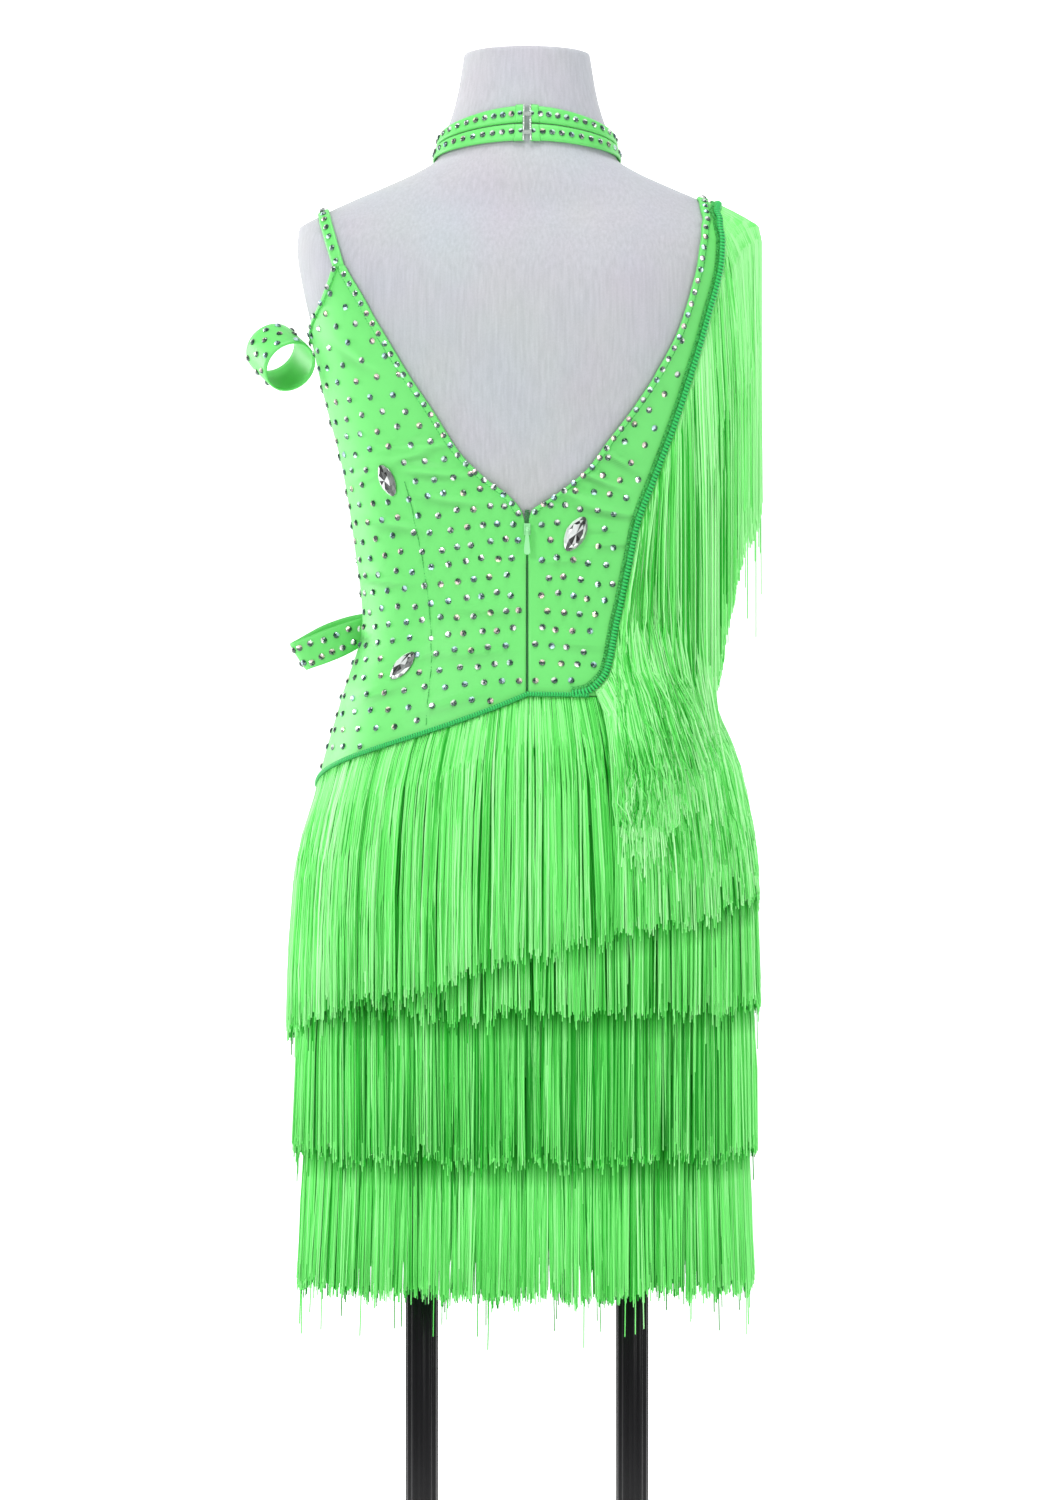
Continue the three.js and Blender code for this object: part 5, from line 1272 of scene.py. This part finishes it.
stitching.data.materials.append(dark_thread)

# Small round stones with foiled backs are glued all over the bodice, straps, collar and loops.
# Each is a low cut stone with its own tint from the coating: pink, blue, green or clear. Its facets carry
# painted light: a painted highlight in that tint on one side, and a painted dark green reflection of the
# cloth elsewhere.
STONE = {"radius": 2.55, "table": 1.4, "girdle": 0.55, "crown": 1.55}
STONE_SIDES = 8
STONE_TINTS = np.array([(1.0, 1.0, 1.0), (1.0, 0.80, 0.78), (0.66, 0.90, 1.0), (0.75, 1.0, 0.93),
                        (1.0, 0.92, 0.74)])
STONE_SHARES = (0.34, 0.2, 0.2, 0.18, 0.08)
# The colour of the unlit facets: a painted dark reflection of the green cloth.
STONE_PAINTED_DARK = np.array((0.008, 0.055, 0.035))
PANEL_STONES = {"row": 13.4, "half_round": 24, "margin": 5.0, "stray": 0.9}


def stone_shape(radius=1.0):
    """A cut stone: a foot ring, a girdle ring, a smaller table ring and a middle point, eight-sided."""
    angle = np.linspace(0, 2 * math.pi, STONE_SIDES, endpoint=False)
    rings = []
    for r, z, turn in ((STONE["radius"], 0, 0), (STONE["radius"], STONE["girdle"], 0),
                       (STONE["table"], STONE["crown"], math.pi / STONE_SIDES)):
        flat = [r * np.cos(angle + turn), r * np.sin(angle + turn), np.full(STONE_SIDES, z)]
        rings.append(np.stack(flat, 1))
    points = np.concatenate(rings + [[[0, 0, 0]], [[0, 0, STONE["crown"]]]]) * radius
    faces = []
    n = STONE_SIDES
    for i in range(n):
        j = (i + 1) % n
        faces += [(i, j, n + j), (i, n + j, n + i), (n + i, n + j, 2 * n + i), (n + j, 2 * n + j, 2 * n + i),
                  (2 * n + i, 2 * n + j, 3 * n + 1), (j, i, 3 * n)]
    return points, np.array(faces)


def painted_facet_tones(centres, rng, count):
    """How bright each facet is painted: a painted dark reflection all over but for a painted highlight on one
    side, turned near the same way on every stone, and uneven.
    """
    angle = np.arctan2(centres[:, 1], centres[:, 0])
    swing = np.cos(angle[None, :] - rng.normal(2.2, 1.1, (count, 1)))
    tone = np.where(swing > 0.55, 0.95, np.where(swing > -0.05, 0.24, 0.03))
    return np.clip(tone + rng.normal(0, 0.12, tone.shape), 0.0, 1)


def stones_object(name, centres, normals, seed, size=1.0):
    """One mesh of every stone: the cut shape turned to lie on the cloth at each place."""
    rng = np.random.default_rng(seed)
    shape, faces = stone_shape(size)
    count = len(centres)
    up = np.broadcast_to(np.array([0, 0, 1.0]), normals.shape)
    side = np.cross(up, normals)
    side /= np.maximum(np.linalg.norm(side, axis=1, keepdims=True), 1e-6)
    along = np.cross(normals, side)
    twist = rng.uniform(-0.5, 0.5, count)[:, None]
    right = side * np.cos(twist) + along * np.sin(twist)
    top = np.cross(normals, right)
    points = (centres[:, None] + shape[None, :, :1] * right[:, None] + shape[None, :, 1:2] * top[:, None]
              + shape[None, :, 2:] * normals[:, None]) * MM
    index = faces[None] + (np.arange(count) * len(shape))[:, None, None]
    mesh = bpy.data.meshes.new(name)
    mesh.from_pydata(points.reshape(-1, 3).tolist(), [], index.reshape(-1, 3).tolist())
    # Each facet is painted with light: a painted highlight in the stone's tint, or a painted dark reflection.
    tone = painted_facet_tones(shape[faces].mean(axis=1), rng, count)
    tint = STONE_TINTS[rng.choice(len(STONE_TINTS), count, p=STONE_SHARES)]
    colour = STONE_PAINTED_DARK + (tint[:, None] - STONE_PAINTED_DARK) * tone[..., None]
    colour = np.concatenate([colour, np.ones((count, len(faces), 1))], axis=-1)
    foil = mesh.attributes.new("foil", "FLOAT_COLOR", "FACE")
    foil.data.foreach_set("color", colour.reshape(-1).astype(np.float32))
    piece = bpy.data.objects.new(name, mesh)
    bpy.context.collection.objects.link(piece)
    return piece


# The stones' colour is the painted facet light stored on each facet: painted highlights and painted dark
# reflections.
cut_glass, glass_shader, glass_node, glass_link = new_material("cut_glass_painted_glints", (0.8, 0.85, 0.9, 1), 0.12)
glass_painted_light = glass_node("ShaderNodeAttribute", {"attribute_name": "foil"})
glass_link(glass_painted_light.outputs["Color"], glass_shader.inputs["Base Color"])
glass_shader.inputs["Metallic"].default_value = 0.35
glass_shader.inputs["Coat Weight"].default_value = 0.55
glass_shader.inputs["Coat Roughness"].default_value = 0.03


def dress_stones(name, spots_turn, spots_height, out, seed, size=1.0, on_cloth=False):
    """Stones on the figure at turns and heights, at a distance out, or that far off the creased cloth."""
    lift = cloth_lift(spots_turn, spots_height) if on_cloth else 0
    centres = skin_point(spots_turn, spots_height, out + lift)
    piece = stones_object(name, centres, skin_normal(spots_turn, spots_height), seed, size)
    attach(piece, "dress")
    piece.data.materials.append(cut_glass)
    return piece


def scattered(face, keep, seed):
    """Rows of stones round the figure, each row shifted by half a step, with every stone a little off."""
    rng = np.random.default_rng(seed)
    turns, heights = [], []
    count = PANEL_STONES["half_round"]
    for number, height in enumerate(np.arange(908, 1345, PANEL_STONES["row"])):
        turn = (np.arange(count) + 0.5 * (number % 2)) / count * math.pi - QUARTER
        turn = turn + rng.normal(0, PANEL_STONES["stray"], count) / 110
        turns.append(turn if face == "back" else turn + math.pi)
        heights.append(height + 5.5 * np.cos(2.2 * turn) + rng.normal(0, PANEL_STONES["stray"], count))
    turns, heights = np.concatenate(turns), np.concatenate(heights)
    chosen = keep(turns, heights)
    return turns[chosen], heights[chosen]


def within_panel(table, face, turns, heights, margin):
    """Which spots lie between a panel's edges at their height, clear of both by the margin."""
    near, near_height, far, far_height = panel_edges(table, face, np.linspace(0, 1, 300))
    unit = 1 / figure_reach(turns, heights)
    inner = np.interp(heights, near_height, near)
    outer = np.interp(heights, far_height, far)
    low, high = np.minimum(inner, outer), np.maximum(inner, outer)
    top = max(near_height.max(), far_height.max()) - 6
    return (turns > low + margin * unit) & (turns < high - margin * unit) & (heights < top)


def back_keep(turns, heights):
    """The spots on the back panels that are clear of their edges, the headers and the large stones."""
    left = within_panel(BACK_LEFT, "back", turns, heights, PANEL_STONES["margin"])
    right = within_panel(BACK_RIGHT, "back", turns, heights, PANEL_STONES["margin"])
    header = np.interp(heights, header_height[:HEADER_ON_BACK], header_turn[:HEADER_ON_BACK])
    right &= turns > header + 8.5 / figure_reach(turns, heights)
    above = heights > four_sides(turns, BODICE_EDGE) + 6
    clear = np.ones(len(turns), bool)
    points = ring_point(turns, heights)
    for _, x, height, long, _, _, _ in CRYSTALS:
        clear &= np.hypot(points[:, 0] - x, (points[:, 2] - height) * 0.75) > long * 0.42
    return (left | right) & above & clear


def front_keep(turns, heights):
    """The spots on the front that are clear of its edges and of the top tier's header."""
    wrapped = np.where(turns > math.pi, turns - 2 * math.pi, turns)
    left = within_panel(FRONT_LEFT, "front", wrapped, heights, 7)
    right = within_panel(FRONT_RIGHT, "front", wrapped, heights, 7)
    above = heights > four_sides(turns, BODICE_EDGE) + 6
    return (left | right) & above


stone_turns, stone_heights = scattered("back", back_keep, 5)
dress_stones("stones_back", stone_turns, stone_heights, CLOTH_FACE + 0.1, 6, on_cloth=True)
front_turns, front_heights = scattered("front", front_keep, 7)
dress_stones("stones_front", front_turns, front_heights, CLOTH_FACE + 0.1, 8, on_cloth=True)

BINDING_STONE_STEP = 9.2
trim_turns, trim_heights = [], []
for _, _, table, face, first, last, width, outer in BINDINGS:
    near, near_height, far, far_height = panel_edges(table, face, np.linspace(first, last, 400))
    length = np.linalg.norm(ring_point(far, far_height) - ring_point(near, near_height), axis=-1)
    share = np.minimum(0.46 * width / np.maximum(length, 1), 0.25)
    share = 1 - share if outer else share
    line_turn, line_height = near + (far - near) * share, near_height + (far_height - near_height) * share
    step = BINDING_STONE_STEP * (1.6 if outer else 1)
    _, turns, heights = even_path(line_turn, line_height, 2, step)
    trim_turns.append(turns)
    trim_heights.append(heights)
strap_level = np.linspace(-0.95, 0.95, 17)
strap_turns, strap_heights = strap_spot(strap_level, np.full(len(strap_level), 0.5))
trim_turns.append(strap_turns)
trim_heights.append(strap_heights)
dress_stones("stones_trim", np.concatenate(trim_turns), np.concatenate(trim_heights), CLOTH_FACE + 1.3,
             9, 0.92)

collar_turns = np.linspace(0.09, 2 * math.pi - 0.09, 46)
collar_rows = np.concatenate([collar_height(collar_turns, 0.26), collar_height(collar_turns + 0.02, 0.77)])
dress_stones("stones_collar", np.concatenate([collar_turns, collar_turns + 0.02]), collar_rows,
             CLOTH_FACE + 0.5, 10, 0.95)

ring_rng = np.random.default_rng(20)
ring_angle = np.tile(np.linspace(0, 2 * math.pi, 10, endpoint=False), 3)
ring_row = np.repeat(np.array([-0.34, 0.0, 0.34]), 10)
ring_angle = ring_angle + (ring_row == 0) * math.pi / 10 + ring_rng.normal(0, 0.06, 30)
ring_row = ring_row + ring_rng.normal(0, 0.02, 30)
ring_centres = ring_spot(ring_angle, ring_row, 0.8 + 0 * ring_angle)
ring_normals = ring_spot(ring_angle, ring_row, 9 + 0 * ring_angle) - ring_centres
ring_normals /= np.linalg.norm(ring_normals, axis=1, keepdims=True)
away_from_body = ring_centres[:, 0] > 176
fold_t = np.concatenate([np.linspace(0.06, 0.94, 13), np.linspace(0.10, 0.90, 12)])
fold_row = np.concatenate([np.full(13, 0.24), np.full(12, 0.76)]) + ring_rng.normal(0, 0.03, 25)
fold_centres, fold_normals = folded_spot(fold_t, fold_row, 0.8 + 0 * fold_t)
loop_stones = stones_object("stones_loops", np.concatenate([ring_centres[away_from_body], fold_centres]),
                            np.concatenate([ring_normals[away_from_body], fold_normals]), 12)
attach(loop_stones, "dress")
loop_stones.data.materials.append(cut_glass)

# Three large pointed-oval stones are glued among the small ones on the back.
# Each has a long table with rows of facets down to a thin rim, painted with light: a painted highlight down
# one side, a painted dark middle and a grey other side, with a few facets painted bright or dark at random.
CRYSTAL_RINGS = [(0.0, 0.0), (0.96, 0.0), (1.0, 0.6), (0.98, 1.2), (0.8, 2.8), (0.6, 4.0), (0.0, 4.1)]
CRYSTAL_SIDES = 12


def crystal_object(node_name, x, height, long, wide, lean, stand, seed):
    """A pointed oval: rings of one outline, shrunk and lifted, every other one turned by half a facet."""
    turn = turn_at(x, height)
    foot = skin_point(turn, height, CLOTH_FACE + stand)
    out = skin_normal(turn, height)
    up = np.array([0, 0, 1.0]) - out * out[2]
    up /= np.linalg.norm(up)
    side = np.cross(out, up)
    tilt = math.radians(lean)
    along = up * math.cos(tilt) + side * math.sin(tilt)
    across = np.cross(out, along)
    rings = []
    for number, (share, lift) in enumerate(CRYSTAL_RINGS):
        a = (np.arange(CRYSTAL_SIDES) + 0.5 * (number % 2)) * 2 * math.pi / CRYSTAL_SIDES
        width = wide / 2 * np.sin(a) * (1 - 0.22 * np.cos(a) ** 2)
        point = foot + (long / 2 * np.cos(a) * share)[:, None] * along + (width * share)[:, None] * across
        rings.append(point + lift * out)
    points = np.array(rings)
    count = CRYSTAL_SIDES
    faces = []
    for r in range(len(rings) - 1):
        for i in range(count):
            j = (i + 1) % count
            a, b, c, d = r * count + i, r * count + j, (r + 1) * count + i, (r + 1) * count + j
            faces += [(a, b, d), (a, d, c)] if r % 2 else [(a, b, c), (b, d, c)]
    mesh = bpy.data.meshes.new(node_name)
    mesh.from_pydata((points.reshape(-1, 3) * MM).tolist(), [], faces)
    mesh.validate()
    whole = bmesh.new()
    whole.from_mesh(mesh)
    bmesh.ops.remove_doubles(whole, verts=whole.verts, dist=0.00001)
    bmesh.ops.recalc_face_normals(whole, faces=whole.faces)
    whole.to_mesh(mesh)
    whole.free()
    rng = np.random.default_rng(seed)
    # Each facet is painted by where it lies across the stone: a painted highlight on one side, painted dark
    # in the middle, grey on the other, with some facets flipped at random.
    centres = np.array([face.center for face in mesh.polygons]) / MM - foot
    sideways = centres @ across / (wide / 2)
    tone = np.where(sideways > 0.3, 0.92, np.where(sideways > -0.35, 0.05, 0.3))
    flip = rng.uniform(0, 1, len(tone))
    tone = np.where(flip < 0.14, 0.85, np.where(flip > 0.86, 0.1, tone))
    tone = np.clip(tone + rng.normal(0, 0.05, len(tone)), 0.02, 1)
    colour = np.stack([tone * 0.95, tone, tone * 0.98, np.ones(len(tone))], axis=-1)
    foil = mesh.attributes.new("foil", "FLOAT_COLOR", "FACE")
    foil.data.foreach_set("color", colour.reshape(-1).astype(np.float32))
    piece = bpy.data.objects.new(node_name.replace("crystal", "pointed_stone"), mesh)
    bpy.context.collection.objects.link(piece)
    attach(piece, "dress")
    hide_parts(node_name)
    piece.data.materials.append(cut_glass)


for seed, crystal in enumerate(CRYSTALS):
    crystal_object(*crystal, seed + 30)
